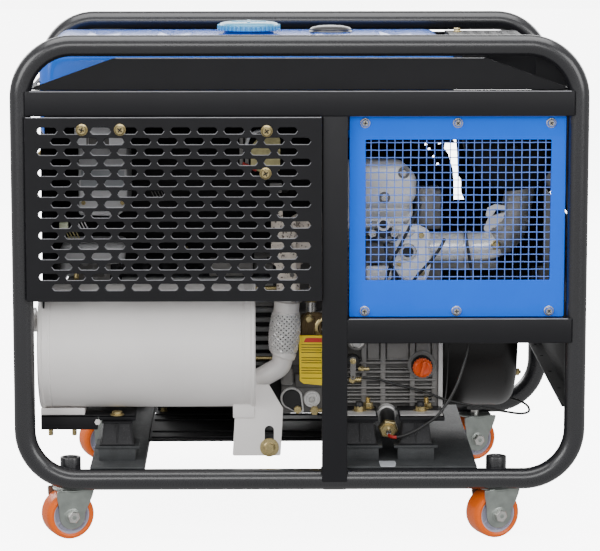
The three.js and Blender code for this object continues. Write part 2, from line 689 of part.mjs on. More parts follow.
function crankcase() {
  const { left, right, near, far, foot, low, high, chamfer } = CASE;
  const body = barYZ([
    [near, foot], [far, foot], [far, AXIS_Z + low - chamfer], [AXIS_Y + high, AXIS_Z + low],
    [AXIS_Y + low, AXIS_Z + high], [AXIS_Y - low, AXIS_Z + high], [AXIS_Y - high, AXIS_Z + low],
    [near, AXIS_Z + low - chamfer],
  ], left, right);
  // Mounting plate in four lugs that reach out over the rubber mounts.
  const reach = MOUNT_Y + MOUNT_DEPTH / 2;
  const lugs = [];
  for (const [x0, x1] of LUG.spans) {
    lugs.push(block(x0, x1, -reach, near + 2, MOUNT_TOP + GAP, MOUNT_TOP + LUG.sheet));
    lugs.push(block(x0, x1, far - 2, reach, MOUNT_TOP + GAP, MOUNT_TOP + LUG.sheet));
  }
  const oilNeck = rod([OIL_NECK.x, near + 2, OIL_NECK.z], [OIL_NECK.x, near - OIL_NECK.length, OIL_NECK.z],
    OIL_NECK.radius, 16);
  const bore = rod([left - 5, AXIS_Y, AXIS_Z], [right + 5, AXIS_Y, AXIS_Z], SHAFT_RADIUS + 2, 20);
  return cut(joined(body, ...lugs, oilNeck), bore);
}

// Finned barrel with its head.
function cylinder(side, x) {
  const start = DECK_REACH + GAP + 0.5;
  const { half, head: [headX, headY], fin: [finX, finY], fins: count, firstFin, finPitch, finSheet } = BARREL;
  const core = onCylinder(side, x, -half, half, -half, half, start, start + BARREL_LENGTH + 2);
  const top = start + BARREL_LENGTH;
  const head = onCylinder(side, x, -headX, headX, -headY, headY, top, top + HEAD_LENGTH);
  const fins = [];
  for (let i = 0; i < count; i += 1) {
    const z = start + firstFin + i * finPitch;
    fins.push(onCylinder(side, x, -finX, finX, -finY, finY, z, z + finSheet));
  }
  return joined(core, head, ...fins);
}

function rockerCover(side, x) {
  const base = DECK_REACH + BARREL_LENGTH + HEAD_LENGTH + 2 * GAP + 0.8;
  const { width, depth, corner, bevel } = ROCKER;
  const geometry = new THREE.ExtrudeGeometry(roundedRectangle(width, depth, corner), {
    depth: ROCKER_HEIGHT - 2 * bevel,
    bevelThickness: bevel,
    bevelSize: bevel,
    bevelSegments: 2,
    curveSegments: 3,
  });
  geometry.translate(0, 0, base + bevel);
  geometry.applyMatrix4(cylinderMatrix(side, x));
  return solid(geometry);
}

function blowerHousing() {
  const { left, right, radius, wall, mouth, round } = BLOWER;
  const length = right - left;
  const profile = [
    [radius, 0], [radius, length - round], [radius - 8, length - 8], [radius - round, length],
    [mouth, length], [mouth, length - wall], [radius - round - 1, length - wall],
    [radius - 10, length - 10], [radius - wall, length - round - 1], [radius - wall, 0], [radius, 0],
  ];
  return turned(profile, 28, alongX(left, AXIS_Y, AXIS_Z));
}

function flywheelFan() {
  const { left, disc: discSheet, hub: hubLength, hubRadius, radius, blades: count, blade, bladeAt } = FAN;
  const hub = rod([left, AXIS_Y, AXIS_Z], [left + hubLength, AXIS_Y, AXIS_Z], hubRadius, 24);
  const disc = rod([left, AXIS_Y, AXIS_Z], [left + discSheet, AXIS_Y, AXIS_Z], radius, 24);
  const blades = [];
  for (let i = 0; i < count; i += 1) {
    const geometry = new THREE.BoxGeometry(...blade);
    geometry.translate(left + discSheet - 3 + blade[0] / 2, 0, bladeAt);
    geometry.applyMatrix4(new THREE.Matrix4().makeTranslation(0, AXIS_Y, AXIS_Z)
      .multiply(new THREE.Matrix4().makeRotationX((2 * Math.PI * i) / count)));
    blades.push(solid(geometry));
  }
  return joined(hub, disc, ...blades);
}

function alternatorRotor() {
  const core = rod([-300, AXIS_Y, AXIS_Z], [-90, AXIS_Y, AXIS_Z], ALTERNATOR.rotor, 24);
  const shaft = rod([ALTERNATOR.left + 40, AXIS_Y, AXIS_Z], [FAN.left - GAP, AXIS_Y, AXIS_Z], SHAFT_RADIUS, 16);
  return joined(core, shaft);
}

// Ribbed stator shell with feet, open at both ends.
function alternatorHousing() {
  const { bell, right, radius, wall, skin } = ALTERNATOR;
  const outer = rod([bell, AXIS_Y, AXIS_Z], [right, AXIS_Y, AXIS_Z], radius - skin, 24);
  const inner = rod([bell - 1, AXIS_Y, AXIS_Z], [right - 30, AXIS_Y, AXIS_Z], radius - wall - skin, 24);
  const opening = rod([right - 40, AXIS_Y, AXIS_Z], [right + 1, AXIS_Y, AXIS_Z], SHAFT_RADIUS + 4, 20);
  const pieces = [outer];
  const { count, lowest, pitch, half } = ALTERNATOR_RIBS;
  for (let i = 0; i < count; i += 1) {
    const z = AXIS_Z - lowest + i * pitch;
    const reach = Math.sqrt(radius * radius - (z - AXIS_Z) * (z - AXIS_Z));
    pieces.push(block(bell + 20, right - 12, AXIS_Y - reach, AXIS_Y + reach, z - half, z + half));
  }
  pieces.push(block(-160, -60, -70, 94, MOUNT_TOP + 4, AXIS_Z - 90));
  pieces.push(block(-160, -60, -96, 118, MOUNT_TOP - 10, MOUNT_TOP + 6));
  return cut(joined(...pieces), inner, opening);
}

function alternatorEndBell() {
  const { left, bell, radius } = ALTERNATOR;
  const length = bell - left - GAP;
  const profile = [
    [0, 0], [52, 0], [64, 14], [radius - 14, 26], [radius, 40], [radius, length], [radius - 12, length],
    [radius - 14, 44], [60, 30], [0, 30],
  ];
  const shell = turned(profile, 24, alongX(left, AXIS_Y, AXIS_Z));
  // Foot beam that carries the outer end on the left rubber mounts.
  const beam = block(MOUNT_X.left - 29, MOUNT_X.left + 29, -MOUNT_Y - 2.5, MOUNT_Y + 26, MOUNT_TOP + GAP,
    MOUNT_TOP + GAP + BELL_BEAM);
  const web = block(-372, -340, AXIS_Y - 60, AXIS_Y + 60, MOUNT_TOP + 2, AXIS_Z - 90);
  const ledge = block(-372, MOUNT_X.left, AXIS_Y - 60, AXIS_Y + 60, MOUNT_TOP + GAP, MOUNT_TOP + 10);
  const shaftHole = rod([left + 30, AXIS_Y, AXIS_Z], [bell + 1, AXIS_Y, AXIS_Z], 20, 20);
  const pocket = rod([left + 8, AXIS_Y, AXIS_Z], [left + 60, AXIS_Y, AXIS_Z], 22, 20);
  return cut(joined(shell, beam, web, ledge), shaftHole, pocket);
}

function intakeBend(radius) {
  const { start, y, z, corner, endX, endZ, bend } = INTAKE;
  return bentTube([[start + 2, y, z], [corner, y, z], [endX, y + 24, endZ]], bend, radius, 12, 4);
}

function intakePipe() {
  const { start, y, z, radius, flange, flangeHalf } = INTAKE;
  return joined(intakeBend(radius),
    block(start, start + flange, y - flangeHalf - 2, y + flangeHalf - 2, z - flangeHalf, z + flangeHalf));
}

function airCleaner() {
  const { x, y, z, radius, length, chamfer } = AIR_CLEANER;
  const profile = [
    [0, 0], [radius - chamfer, 0], [radius, chamfer + 2], [radius, length - chamfer - 2],
    [radius - chamfer, length], [0, length],
  ];
  return cut(turned(profile, 28, alongPlusY(x, y, z)), intakeBend(INTAKE.radius + GAP));
}

function injectionPump() {
  const { left, right, near, bottom, top, neckX, neckTop, nose: [noseX, noseZ, noseRadius] } = PUMP;
  const body = block(left, right, near, CASE.near - GAP, bottom, top);
  const neck = rod([neckX, near + 14, top - 2], [neckX, near + 14, neckTop], 10, 14);
  const nose = rod([noseX, near + 1, noseZ], [noseX, near - 16, noseZ], noseRadius, 16);
  return joined(body, neck, nose);
}

function stopLever() {
  const { x, z, hub: hubRadius, length, arm: armLength, armHalf, armSheet } = LEVER;
  const end = CASE.near - length;
  const hub = rod([x, CASE.near - GAP, z], [x, end, z], hubRadius, 14);
  const arm = block(x - armHalf, x + armHalf, end, end + armSheet, z - armLength, z);
  return joined(hub, arm);
}

function starterMotor() {
  const { z, left, right, radius, noseEnd, noseRadius, lift, solenoid: solenoidRadius } = STARTER;
  const y = CASE.far + radius + 3;
  const body = rod([left, y, z], [right, y, z], radius, 20);
  const nose = rod([right - 2, y, z], [noseEnd, y, z], noseRadius, 20);
  const solenoid = rod([left + 30, y, z + lift], [right - 18, y, z + lift], solenoidRadius, 16);
  const bridge = block(left + 50, right - 38, y - 18, y + 18, z + 18, z + lift - 10);
  return joined(body, nose, solenoid, bridge);
}

function buildEngine() {
  place('crankcase', crankcase(), 'casting');
  for (const [side, name] of [[-1, 'near'], [1, 'far']]) {
    place(`${name}_cylinder`, cylinder(side, CYLINDER_X[name]), 'casting');
    place(`${name}_rocker_cover`, rockerCover(side, CYLINDER_X[name]), 'silver');
  }
  place('blower_housing', blowerHousing(), 'frame');
  place('flywheel_fan', flywheelFan(), 'casting');
  place('alternator_rotor', alternatorRotor(), 'casting');
  place('alternator_housing', alternatorHousing(), 'casting');
  place('alternator_end_bell', alternatorEndBell(), 'casting');
  place('intake_pipe', intakePipe(), 'silver');
  place('air_cleaner', airCleaner(), 'plastic');
  place('injection_pump', injectionPump(), 'brass');
  place('stop_lever', stopLever(), 'zinc');
  place('starter_motor', starterMotor(), 'plastic');
}

function buildEngineTrim() {
  const { x, z } = OIL_NECK;
  const neckEnd = CASE.near - OIL_NECK.length;
  const { radius, height, grip: gripEnd, gripHalf, gripSheet } = OIL_CAP;
  const profile = [[0, GAP], [radius, GAP], [radius, height - 3], [radius - 2, height], [0, height]];
  const cap = turned(profile, 20, alongMinusY(x, neckEnd, z));
  const grip = block(x - gripSheet / 2, x + gripSheet / 2, neckEnd - gripEnd, neckEnd - height + 1,
    z - gripHalf, z + gripHalf);
  place('oil_filler_cap', joined(cap, grip), 'orange');
  const senderPoint = (distance) => [
    SENDER.x, CASE.near - GAP - 2 - distance, SENDER.z - distance * SENDER.drop,
  ];
  const barrel = rod(senderPoint(0), senderPoint(58), SENDER.radius, 16);
  const hexagon = rod(senderPoint(57), senderPoint(70), SENDER.radius + 2.5, 6);
  const tip = rod(senderPoint(69), senderPoint(80), 5, 10);
  place('oil_pressure_sender', joined(barrel, hexagon, tip), 'brass');
  // Lead from the sender, up past the fan drum and over the intake pipe.
  place('sensor_lead', cable([
    [147, -253.8, 161.4], [150, -260, 160], [158, -264, 160], [170, -267, 163], [184, -269, 169],
    [199, -268, 177], [224, -268, 195], [242, -264, 218], [256, -260, 243], [267, -253, 272],
    [276, -245, 303], [281, -236, 345], [283.5, -228, 390], [283, -223.6, 422], [279.5, -223.6, 445],
    [276, -223.6, 468], [272.5, -217, 488], [270.5, -203, 496],
  ], 2.4, 40), 'rubber');
  // Stop cable from its clip beside the lever, along the crankcase and round the fan drum in one loop.
  place('stop_cable', cable([
    [106, -176, 243], [130, -177, 240], [160, -178, 232], [210, -182, 219], [245, -184, 206],
    [285, -184, 197], [320, -184, 190], [347, -182, 185], [371, -177, 181], [385, -164, 182],
    [385, -142, 187], [374, -118, 191], [361, -102, 192],
  ], 2, 32), 'rubber');
}

// ---------------------------------------------------------------- electrics

function controlBox() {
  const { left, right, near, far, bottom, top, wall } = BOX;
  return cut(
    block(left, right, near, far, bottom, top),
    block(left + wall, right - wall, near + wall, far + 1, bottom + wall, top - wall));
}

function controlPanel() {
  const plate = block(BOX.left, BOX.right, BOX.far + GAP, PANEL_FRONT, BOX.bottom, BOX.panelTop);
  const { x, z, opening } = TOGGLE;
  const window = block(x - opening / 2, x + opening / 2, BOX.far, PANEL_FRONT + 1,
    z - opening / 2, z + opening / 2);
  return cut(plate, loopClearance.far, window);
}

function knob(x, z, radius, length, sides) {
  const profile = [[0, GAP], [radius, GAP], [radius - 1.5, length - 1.5], [radius - 3, length], [0, length]];
  return turned(profile, sides, alongPlusY(x, PANEL_FRONT, z));
}

// Lever that tips up and down about a pin level with the panel.
function breakerToggle() {
  const { x, z, hinge, width, height, reach } = TOGGLE;
  return block(x - width / 2, x + width / 2, hinge - 2.5, hinge + reach, z - height / 2, z + height / 2);
}

function buildElectrics() {
  place('control_box', controlBox(), 'frame');
  place('control_panel', controlPanel(), 'blue');
  place('current_knob', knob(KNOB.x, KNOB.z, KNOB.radius, FAR_FRONT - PANEL_FRONT, 20), 'plastic');
  const keyStem = knob(KEY.x, KEY.z, KEY.radius, KEY.stem, 14);
  const keyBow = block(KEY.x - KEY.bowSheet / 2, KEY.x + KEY.bowSheet / 2,
    PANEL_FRONT + KEY.bowStart, PANEL_FRONT + KEY.bowEnd, KEY.z - KEY.bowHalf, KEY.z + KEY.bowHalf);
  place('ignition_key', joined(keyStem, keyBow), 'zinc');
  place('breaker_toggle', breakerToggle(), 'plastic');
  const unit = block(RECTIFIER.left, RECTIFIER.right, RECTIFIER.near, BOX.near - GAP,
    RECTIFIER.bottom, RECTIFIER.top);
  place('rectifier_unit', unit, 'silver');
  const { left, right, near, far, top, posts, postY, postHalf } = BATTERY;
  const terminals = posts.map((x) => block(x - postHalf, x + postHalf, postY - postHalf, postY + postHalf,
    top - 6, top + 14));
  place('battery', joined(block(left, right, near, far, BASE_TOP + GAP, top), ...terminals), 'plastic');
}

// ---------------------------------------------------------------- casters

// Fork with its stem and axle, made about the swivel axis, with the wheel axle along local Y.
function casterFork(stemTop) {
  const inner = WHEEL_WIDTH / 2 + FORK.clearance;
  const outer = inner + FORK_SHEET;
  const crown = rod([0, 0, FORK_TOP - FORK.crownSheet], [0, 0, FORK_TOP], FORK.crown, 16);
  const stem = rod([0, 0, FORK_TOP - 1], [0, 0, stemTop], STEM_RADIUS, 10);
  const outline = [[-FORK.side, FORK_TOP - 1], [FORK.side, FORK_TOP - 1]];
  for (let i = 0; i <= 6; i += 1) {
    const angle = (-Math.PI * i) / 6;
    outline.push([-CASTER_TRAIL + FORK.chin * Math.cos(angle), AXLE_HEIGHT + FORK.chin * Math.sin(angle)]);
  }
  const cheeks = [plateXZ(outline, -outer, -inner), plateXZ(outline, inner, outer)];
  const bridge = block(-FORK.bridge, FORK.bridge, -outer, outer, FORK_TOP - FORK.crownSheet, FORK_TOP - 0.5);
  const onAxle = (y0, y1, radius, sides) => rod([-CASTER_TRAIL, y0, AXLE_HEIGHT],
    [-CASTER_TRAIL, y1, AXLE_HEIGHT], radius, sides);
  const axle = onAxle(-outer - 3, outer + 3, AXLE_RADIUS, 12);
  const nut = onAxle(-outer - AXLE_END.nut, -outer + 0.5, AXLE_END.radius, 6);
  const head = onAxle(outer - 0.5, outer + AXLE_END.head, AXLE_END.radius, 6);
  return joined(crown, stem, bridge, ...cheeks, axle, nut, head);
}

function casterWheel() {
  const half = WHEEL_WIDTH / 2;
  const profile = [
    [WHEEL_BORE, -half], [WHEEL_RADIUS - 6, -half], [WHEEL_RADIUS, -half + 7], [WHEEL_RADIUS, half - 7],
    [WHEEL_RADIUS - 6, half], [WHEEL_BORE, half], [WHEEL_BORE, -half],
  ];
  const facet = new THREE.Matrix4().makeRotationZ(Math.PI / WHEEL_SIDES);
  const level = new THREE.Matrix4().makeRotationX(Math.PI / 2);
  const spot = new THREE.Matrix4().makeTranslation(-CASTER_TRAIL, 0, AXLE_HEIGHT);
  return turned(profile, WHEEL_SIDES, spot.multiply(level).multiply(facet));
}

function buildCasters() {
  const wheel = casterWheel();
  for (const [depth, corner] of Object.entries(CASTERS)) {
    const fork = casterFork(SOCKET.top[depth] - STEM_BELOW_TOP);
    for (const hand of ['left', 'right']) {
      const caster = new THREE.Group();
      caster.position.set(corner[hand], corner.y, 0);
      caster.rotation.z = CASTER_YAW;
      group.add(caster);
      place(`${depth}_${hand}_caster_fork`, fork, 'zinc', caster);
      place(`${depth}_${hand}_caster_wheel`, wheel, 'tyre', caster);
    }
  }
}

buildFrame();
buildBase();
buildTank();
buildGuards();
buildExhaust();
buildEngine();
buildEngineTrim();
buildElectrics();
buildCasters();

export default group;
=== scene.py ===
import json
from math import cos, pi, radians, sin, sqrt, tan
import random
from types import SimpleNamespace

import bmesh
import bpy
from mathutils import Matrix, Vector
from mathutils.geometry import tessellate_polygon


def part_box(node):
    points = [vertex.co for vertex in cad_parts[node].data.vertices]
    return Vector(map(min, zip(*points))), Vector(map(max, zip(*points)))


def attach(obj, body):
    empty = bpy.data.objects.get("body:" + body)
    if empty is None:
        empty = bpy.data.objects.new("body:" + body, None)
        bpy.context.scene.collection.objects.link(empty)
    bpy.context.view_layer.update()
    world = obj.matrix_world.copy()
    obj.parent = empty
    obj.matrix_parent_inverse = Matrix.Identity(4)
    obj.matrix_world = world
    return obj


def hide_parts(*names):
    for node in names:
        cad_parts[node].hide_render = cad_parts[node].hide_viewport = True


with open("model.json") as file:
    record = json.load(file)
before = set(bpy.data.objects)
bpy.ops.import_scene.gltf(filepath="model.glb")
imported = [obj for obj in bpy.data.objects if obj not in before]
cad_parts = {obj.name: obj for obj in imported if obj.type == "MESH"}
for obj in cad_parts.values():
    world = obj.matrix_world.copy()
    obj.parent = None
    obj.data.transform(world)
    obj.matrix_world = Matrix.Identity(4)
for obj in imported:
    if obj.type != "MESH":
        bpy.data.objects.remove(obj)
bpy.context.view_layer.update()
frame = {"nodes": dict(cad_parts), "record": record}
random.seed(11)

MM = 0.001
TAU = 2 * pi
RIGHT, LEFT = Vector((1, 0, 0)), Vector((-1, 0, 0))
NEAR, FAR = Vector((0, -1, 0)), Vector((0, 1, 0))
UP, DOWN = Vector((0, 0, 1)), Vector((0, 0, -1))


def box_of(node):
    """A CAD node's box in millimetres."""
    low, high = (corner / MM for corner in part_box(node))
    return SimpleNamespace(x0=low.x, x1=high.x, y0=low.y, y1=high.y, z0=low.z, z1=high.z,
                           cx=(low.x + high.x) / 2, cy=(low.y + high.y) / 2, cz=(low.z + high.z) / 2)


BOX = {name: box_of(name) for name in frame["nodes"]}

# ---------------------------------------------------------------- camera, light and floor

camera = bpy.data.objects.new("camera", bpy.data.cameras.new("camera"))
camera.data.sensor_width = 36
camera.data.lens = 169.17
camera.location = (-0.0608, -4.7877, 1.1331)
camera.rotation_euler = (radians(81.148), 0, radians(-0.779))
bpy.context.scene.collection.objects.link(camera)
bpy.context.scene.camera = camera


def area_light(name, place, target, size, power):
    data = bpy.data.lights.new(name, "AREA")
    data.shape = "RECTANGLE"
    data.size, data.size_y = size
    data.energy = power
    light = bpy.data.objects.new(name, data)
    light.location = place
    light.rotation_euler = (Vector(target) - Vector(place)).to_track_quat("-Z", "Y").to_euler()
    light.visible_camera = False
    bpy.context.scene.collection.objects.link(light)


area_light("top_softbox", (0, -0.3, 3.0), (0, 0, 0.4), (3.4, 2.4), 95)
area_light("front_left_softbox", (-2.9, -3.2, 1.9), (0, 0, 0.45), (2.0, 2.0), 60)
area_light("front_right_softbox", (2.9, -3.2, 1.7), (0, 0, 0.4), (2.0, 2.0), 50)
area_light("front_softbox", (-0.06, -4.3, 1.9), (0, 0, 0.4), (2.4, 1.2), 40)
area_light("rear_strip_softbox", (0, 3.7, 1.7), (0, 0, 0.75), (5.0, 1.2), 60)
area_light("back_left_softbox", (-2.6, 3.0, 2.2), (0, 0, 0.5), (2.2, 1.8), 60)
area_light("back_right_softbox", (2.6, 3.0, 2.0), (0, 0, 0.5), (2.2, 1.8), 60)


def fill(tree, socket, value):
    """Links a socket to another node's output, or sets its value."""
    if isinstance(value, bpy.types.NodeSocket):
        tree.links.new(value, socket)
    else:
        socket.default_value = value


def shader_node(tree, kind, **inputs):
    node = tree.nodes.new(f"ShaderNode{kind}")
    for socket, value in inputs.items():
        fill(tree, node.inputs[socket], value)
    return node


def node_tree_of(owner):
    owner.use_nodes = True
    owner.node_tree.nodes.clear()
    return owner.node_tree


WHITE = (1, 1, 1, 1)
SKY_STRENGTH, BACKDROP_STRENGTH = 0.55, 7.0

bpy.context.scene.world = bpy.data.worlds.new("studio")
sky = node_tree_of(bpy.context.scene.world)
choose = shader_node(sky, "MixShader")
sources = [shader_node(sky, "LightPath").outputs["Is Camera Ray"]]
sources += [shader_node(sky, "Background", Color=WHITE, Strength=strength).outputs[0]
            for strength in (SKY_STRENGTH, BACKDROP_STRENGTH)]
for socket, source in zip(choose.inputs, sources):
    fill(sky, socket, source)
shader_node(sky, "OutputWorld", Surface=choose.outputs[0])

# ---------------------------------------------------------------- materials


def noise(tree, where, scale, detail=2.0, stretch=None):
    if stretch:
        where = shader_node(tree, "Mapping", Scale=stretch, Vector=where).outputs[0]
    return shader_node(tree, "TexNoise", Scale=scale, Detail=detail, Vector=where).outputs["Fac"]


def ramp(tree, value, low, high, out_low=0.0, out_high=1.0):
    node = shader_node(tree, "MapRange", Value=value)
    for socket, level in zip(("From Min", "From Max", "To Min", "To Max"), (low, high, out_low, out_high)):
        node.inputs[socket].default_value = level
    return node.outputs[0]


def maths(tree, operation, *values):
    node = shader_node(tree, "Math")
    node.operation = operation
    for socket, value in enumerate(values):
        fill(tree, node.inputs[socket], value)
    return node.outputs[0]


def mixed(tree, share, first, second):
    node = shader_node(tree, "Mix")
    node.data_type = "RGBA"
    fill(tree, node.inputs["Factor"], share)
    for socket, colour in ((6, first), (7, second)):
        fill(tree, node.inputs[socket], (*colour, 1) if isinstance(colour, tuple) else colour)
    return node.outputs[2]


def edge_mask(tree, coordinates, soft):
    """One where the surface turns away from all three axes, as on a rounded edge of a box."""
    split = shader_node(tree, "SeparateXYZ", Vector=coordinates.outputs["Normal"])
    x, y, z = (maths(tree, "ABSOLUTE", side) for side in split.outputs)
    biggest = maths(tree, "MAXIMUM", maths(tree, "MAXIMUM", x, y), z)
    return ramp(tree, biggest, 1.0 - soft / 2, 1.0 - 3 * soft)


GLOSS_SPREAD, COAT_ROUGHNESS, EDGE_SOFTNESS = 0.08, 0.12, 0.06


def look(name, colour, rough, metal=0.0, vary=0.1, blotch=18, grain=500, bump=0.1, depth=0.3, wear=None,
         dust=None, specks=None, streaks=None, coat=0.0, specular=0.5):
    """A procedural finish. Sizes are features per metre; depth is the bump's height in millimetres."""
    material = bpy.data.materials.new(name)
    tree = node_tree_of(material)
    coordinates = shader_node(tree, "TexCoord")
    where = coordinates.outputs["Object"]
    blotches = noise(tree, where, blotch, 4)
    fine = noise(tree, where, grain, 3, streaks)
    dark = tuple(c * (1 - vary) for c in colour)
    light = tuple(min(1, c * (1 + vary)) for c in colour)
    tint = mixed(tree, ramp(tree, blotches, 0.3, 0.7), dark, light)
    gloss = ramp(tree, fine, 0.3, 0.7, rough - GLOSS_SPREAD, rough + GLOSS_SPREAD)
    if specks:
        speck_colour, amount, size = specks
        dots = noise(tree, where, size, 2)
        tint = mixed(tree, ramp(tree, dots, 0.72 - amount, 0.76 - amount), tint, speck_colour)
    if dust:
        dust_colour, amount = dust
        facing = shader_node(tree, "SeparateXYZ", Vector=coordinates.outputs["Normal"])
        up_side = ramp(tree, facing.outputs[2], 0.35, 1.0)
        patches = ramp(tree, noise(tree, where, 45, 5), 0.35, 0.7, 0.25, 1.0)
        settled = maths(tree, "MULTIPLY", maths(tree, "MULTIPLY", up_side, patches), amount)
        tint = mixed(tree, settled, tint, dust_colour)
    if wear:
        wear_colour, amount = wear
        scuffs = ramp(tree, noise(tree, where, 90, 4), 0.5, 0.62)
        rubbed = maths(tree, "MULTIPLY", edge_mask(tree, coordinates, EDGE_SOFTNESS), scuffs)
        tint = mixed(tree, maths(tree, "MULTIPLY", rubbed, amount), tint, wear_colour)
    relief = shader_node(tree, "Bump", Strength=bump, Distance=depth * MM, Height=fine)
    shader = shader_node(tree, "BsdfPrincipled", Roughness=gloss, Metallic=metal, Normal=relief.outputs[0])
    for socket, value in (("Base Color", tint), ("Specular IOR Level", specular), ("Coat Weight", coat),
                          ("Coat Roughness", COAT_ROUGHNESS)):
        fill(tree, shader.inputs[socket], value)
    shader_node(tree, "OutputMaterial", Surface=shader.outputs[0])
    return material


DUST = (0.32, 0.3, 0.27)
black = look("frame_black", (0.0078, 0.0078, 0.0098), 0.44, vary=0.06, grain=900, bump=0.3, depth=0.2,
             specular=0.32)
tube_black = look("tube_black", (0.011, 0.011, 0.0135), 0.3, vary=0.05, grain=900, bump=0.25, depth=0.15,
                  specular=0.75, coat=0.35)
black_sheet = look("sheet_black", (0.0088, 0.0088, 0.0105), 0.5, vary=0.12, grain=900, bump=0.3, depth=0.2,
                   specular=0.25, dust=(DUST, 0.03), wear=((0.06, 0.06, 0.065), 0.5))
drum_black = look("drum_black", (0.0105, 0.0095, 0.0095), 0.34, vary=0.08, grain=700, bump=0.12, depth=0.15,
                  specular=0.4)
plate_grey = look("plate_black", (0.045, 0.048, 0.05), 0.55, vary=0.25, blotch=40, grain=330, bump=0.9,
                  depth=0.5, specular=0.35, specks=((0.06, 0.062, 0.065), 0.12, 520))
blue = look("panel_blue", (0.0, 0.15, 1.0), 0.5, vary=0.03, grain=650, bump=0.18, depth=0.15, specular=0.12)
tank_blue = look("tank_blue", (0.02, 0.2, 1.0), 0.2, vary=0.04, grain=400, depth=0.2, coat=0.6)
mesh_wire = look("mesh_wire", (0.13, 0.27, 0.85), 0.35, metal=0.1, vary=0.15, grain=700, bump=0.2)
silver = look("muffler_silver", (0.92, 0.89, 0.87), 0.5, metal=0.1, vary=0.035, blotch=9, grain=1200,
              bump=0.16, depth=0.12, dust=(DUST, 0.03))
steel_pipe = look("steel_pipe", (0.52, 0.51, 0.5), 0.33, metal=0.75, blotch=30)
braid = look("steel_braid", (0.85, 0.84, 0.83), 0.34, metal=0.6, blotch=40, grain=1500)
casting = look("engine_casting", (0.24, 0.232, 0.225), 0.55, metal=0.35, vary=0.14, blotch=26, grain=520,
               bump=0.5, depth=0.35, dust=(DUST, 0.1), wear=((0.5, 0.5, 0.49), 0.6))
casting_light = look("rocker_silver", (0.72, 0.71, 0.7), 0.46, metal=0.3, vary=0.07, blotch=22, grain=620,
                     bump=0.35, depth=0.25, dust=(DUST, 0.06))
# darker casting for dark parts, and for the deep pockets between ribs, where it is painted shade
casting_dark = look("dark_casting_and_pocket_shade", (0.14, 0.135, 0.13), 0.6, metal=0.25, vary=0.14, blotch=26, grain=520,
                    bump=0.5, depth=0.35)
bright = look("pipe_aluminium", (0.95, 0.95, 0.95), 0.27, metal=0.35, vary=0.07, blotch=30, grain=420,
              bump=0.08, streaks=(0.15, 1, 1))
manifold_iron = look("exhaust_iron", (0.7, 0.6, 0.53), 0.62, metal=0.1, vary=0.16, blotch=30, grain=420,
                     bump=0.6, depth=0.5, specks=((0.16, 0.11, 0.09), 0.1, 150))
plastic = look("black_plastic", (0.009, 0.009, 0.01), 0.46, grain=1100, bump=0.3, depth=0.1)
# black plastic made darker and duller still, for the air cleaner behind the screen: painted shade
painted_shade_plastic = look("painted_shade_plastic", (0.0035, 0.0035, 0.004), 0.55, grain=1100, bump=0.2, depth=0.1,
                     specular=0.2)
rubber = look("black_rubber", (0.02, 0.02, 0.022), 0.72, vary=0.2, blotch=60, grain=420, bump=0.7,
              depth=0.4, dust=(DUST, 0.1), specks=((0.1, 0.1, 0.1), 0.06, 700))
cable_black = look("cable_sheath", (0.02, 0.02, 0.02), 0.36, grain=900)
pump_bronze = look("pump_bronze", (0.13, 0.085, 0.035), 0.5, metal=0.45, vary=0.2, blotch=40, grain=420,
                   bump=0.5, wear=((0.4, 0.3, 0.16), 0.5))
gold_zinc = look("gold_zinc", (0.62, 0.5, 0.24), 0.3, metal=0.9, vary=0.16, blotch=240, grain=800,
                 bump=0.12)
zinc = look("zinc_steel", (0.34, 0.37, 0.345), 0.36, metal=0.8, vary=0.14, blotch=60, grain=260, bump=0.12,
            depth=0.2)
zinc_bright = look("bright_zinc", (0.72, 0.71, 0.68), 0.26, metal=0.95, blotch=120, bump=0.08)
orange_tyre = look("orange_tyre", (1.0, 0.15, 0.002), 0.32, vary=0.06, blotch=50, bump=0.15, depth=0.15,
                   specular=0.4, coat=0.1, dust=((0.5, 0.3, 0.2), 0.1))
hub_lilac = look("wheel_hub", (0.55, 0.55, 0.68), 0.42, vary=0.06, bump=0.15)
orange_plastic = look("orange_plastic", (0.8, 0.1, 0.01), 0.34, vary=0.07, grain=800, bump=0.12)
cap_blue = look("cap_blue", (0.06, 0.36, 0.58), 0.25, vary=0.06, grain=700, coat=0.3)
cap_neck = look("neck_blue", (0.01, 0.09, 0.42), 0.3)
yellow = look("tag_yellow", (0.92, 0.66, 0.0), 0.4, vary=0.04, bump=0.05)
tag_red = look("tag_red", (0.6, 0.03, 0.01), 0.4, vary=0.04, bump=0.05)
tag_ink = look("tag_ink", (0.09, 0.07, 0.01), 0.45, bump=0.05)
white_plastic = look("white_plastic", (0.62, 0.63, 0.6), 0.42, vary=0.05, grain=700)
red_plastic = look("red_plastic", (0.42, 0.02, 0.015), 0.35, vary=0.05, grain=700)
copper = look("copper", (0.62, 0.3, 0.16), 0.32, metal=0.9, vary=0.12, blotch=200, grain=800)
gauge_brown = look("gauge_brown", (0.02, 0.018, 0.018), 0.34, grain=700, bump=0.05, coat=0.4)
label_plain = look("label_plain", (0.55, 0.58, 0.62), 0.4, vary=0.05, grain=600, bump=0.05)
rib_grey = look("rib_casting", (0.36, 0.365, 0.37), 0.5, metal=0.25, blotch=26, grain=520, bump=0.35,
                depth=0.25)
# pale grey for strips laid along edges where light catches them: painted highlight
painted_highlight_edge = look("painted_highlight_edge", (0.3, 0.3, 0.32), 0.45, metal=0.3, grain=800)
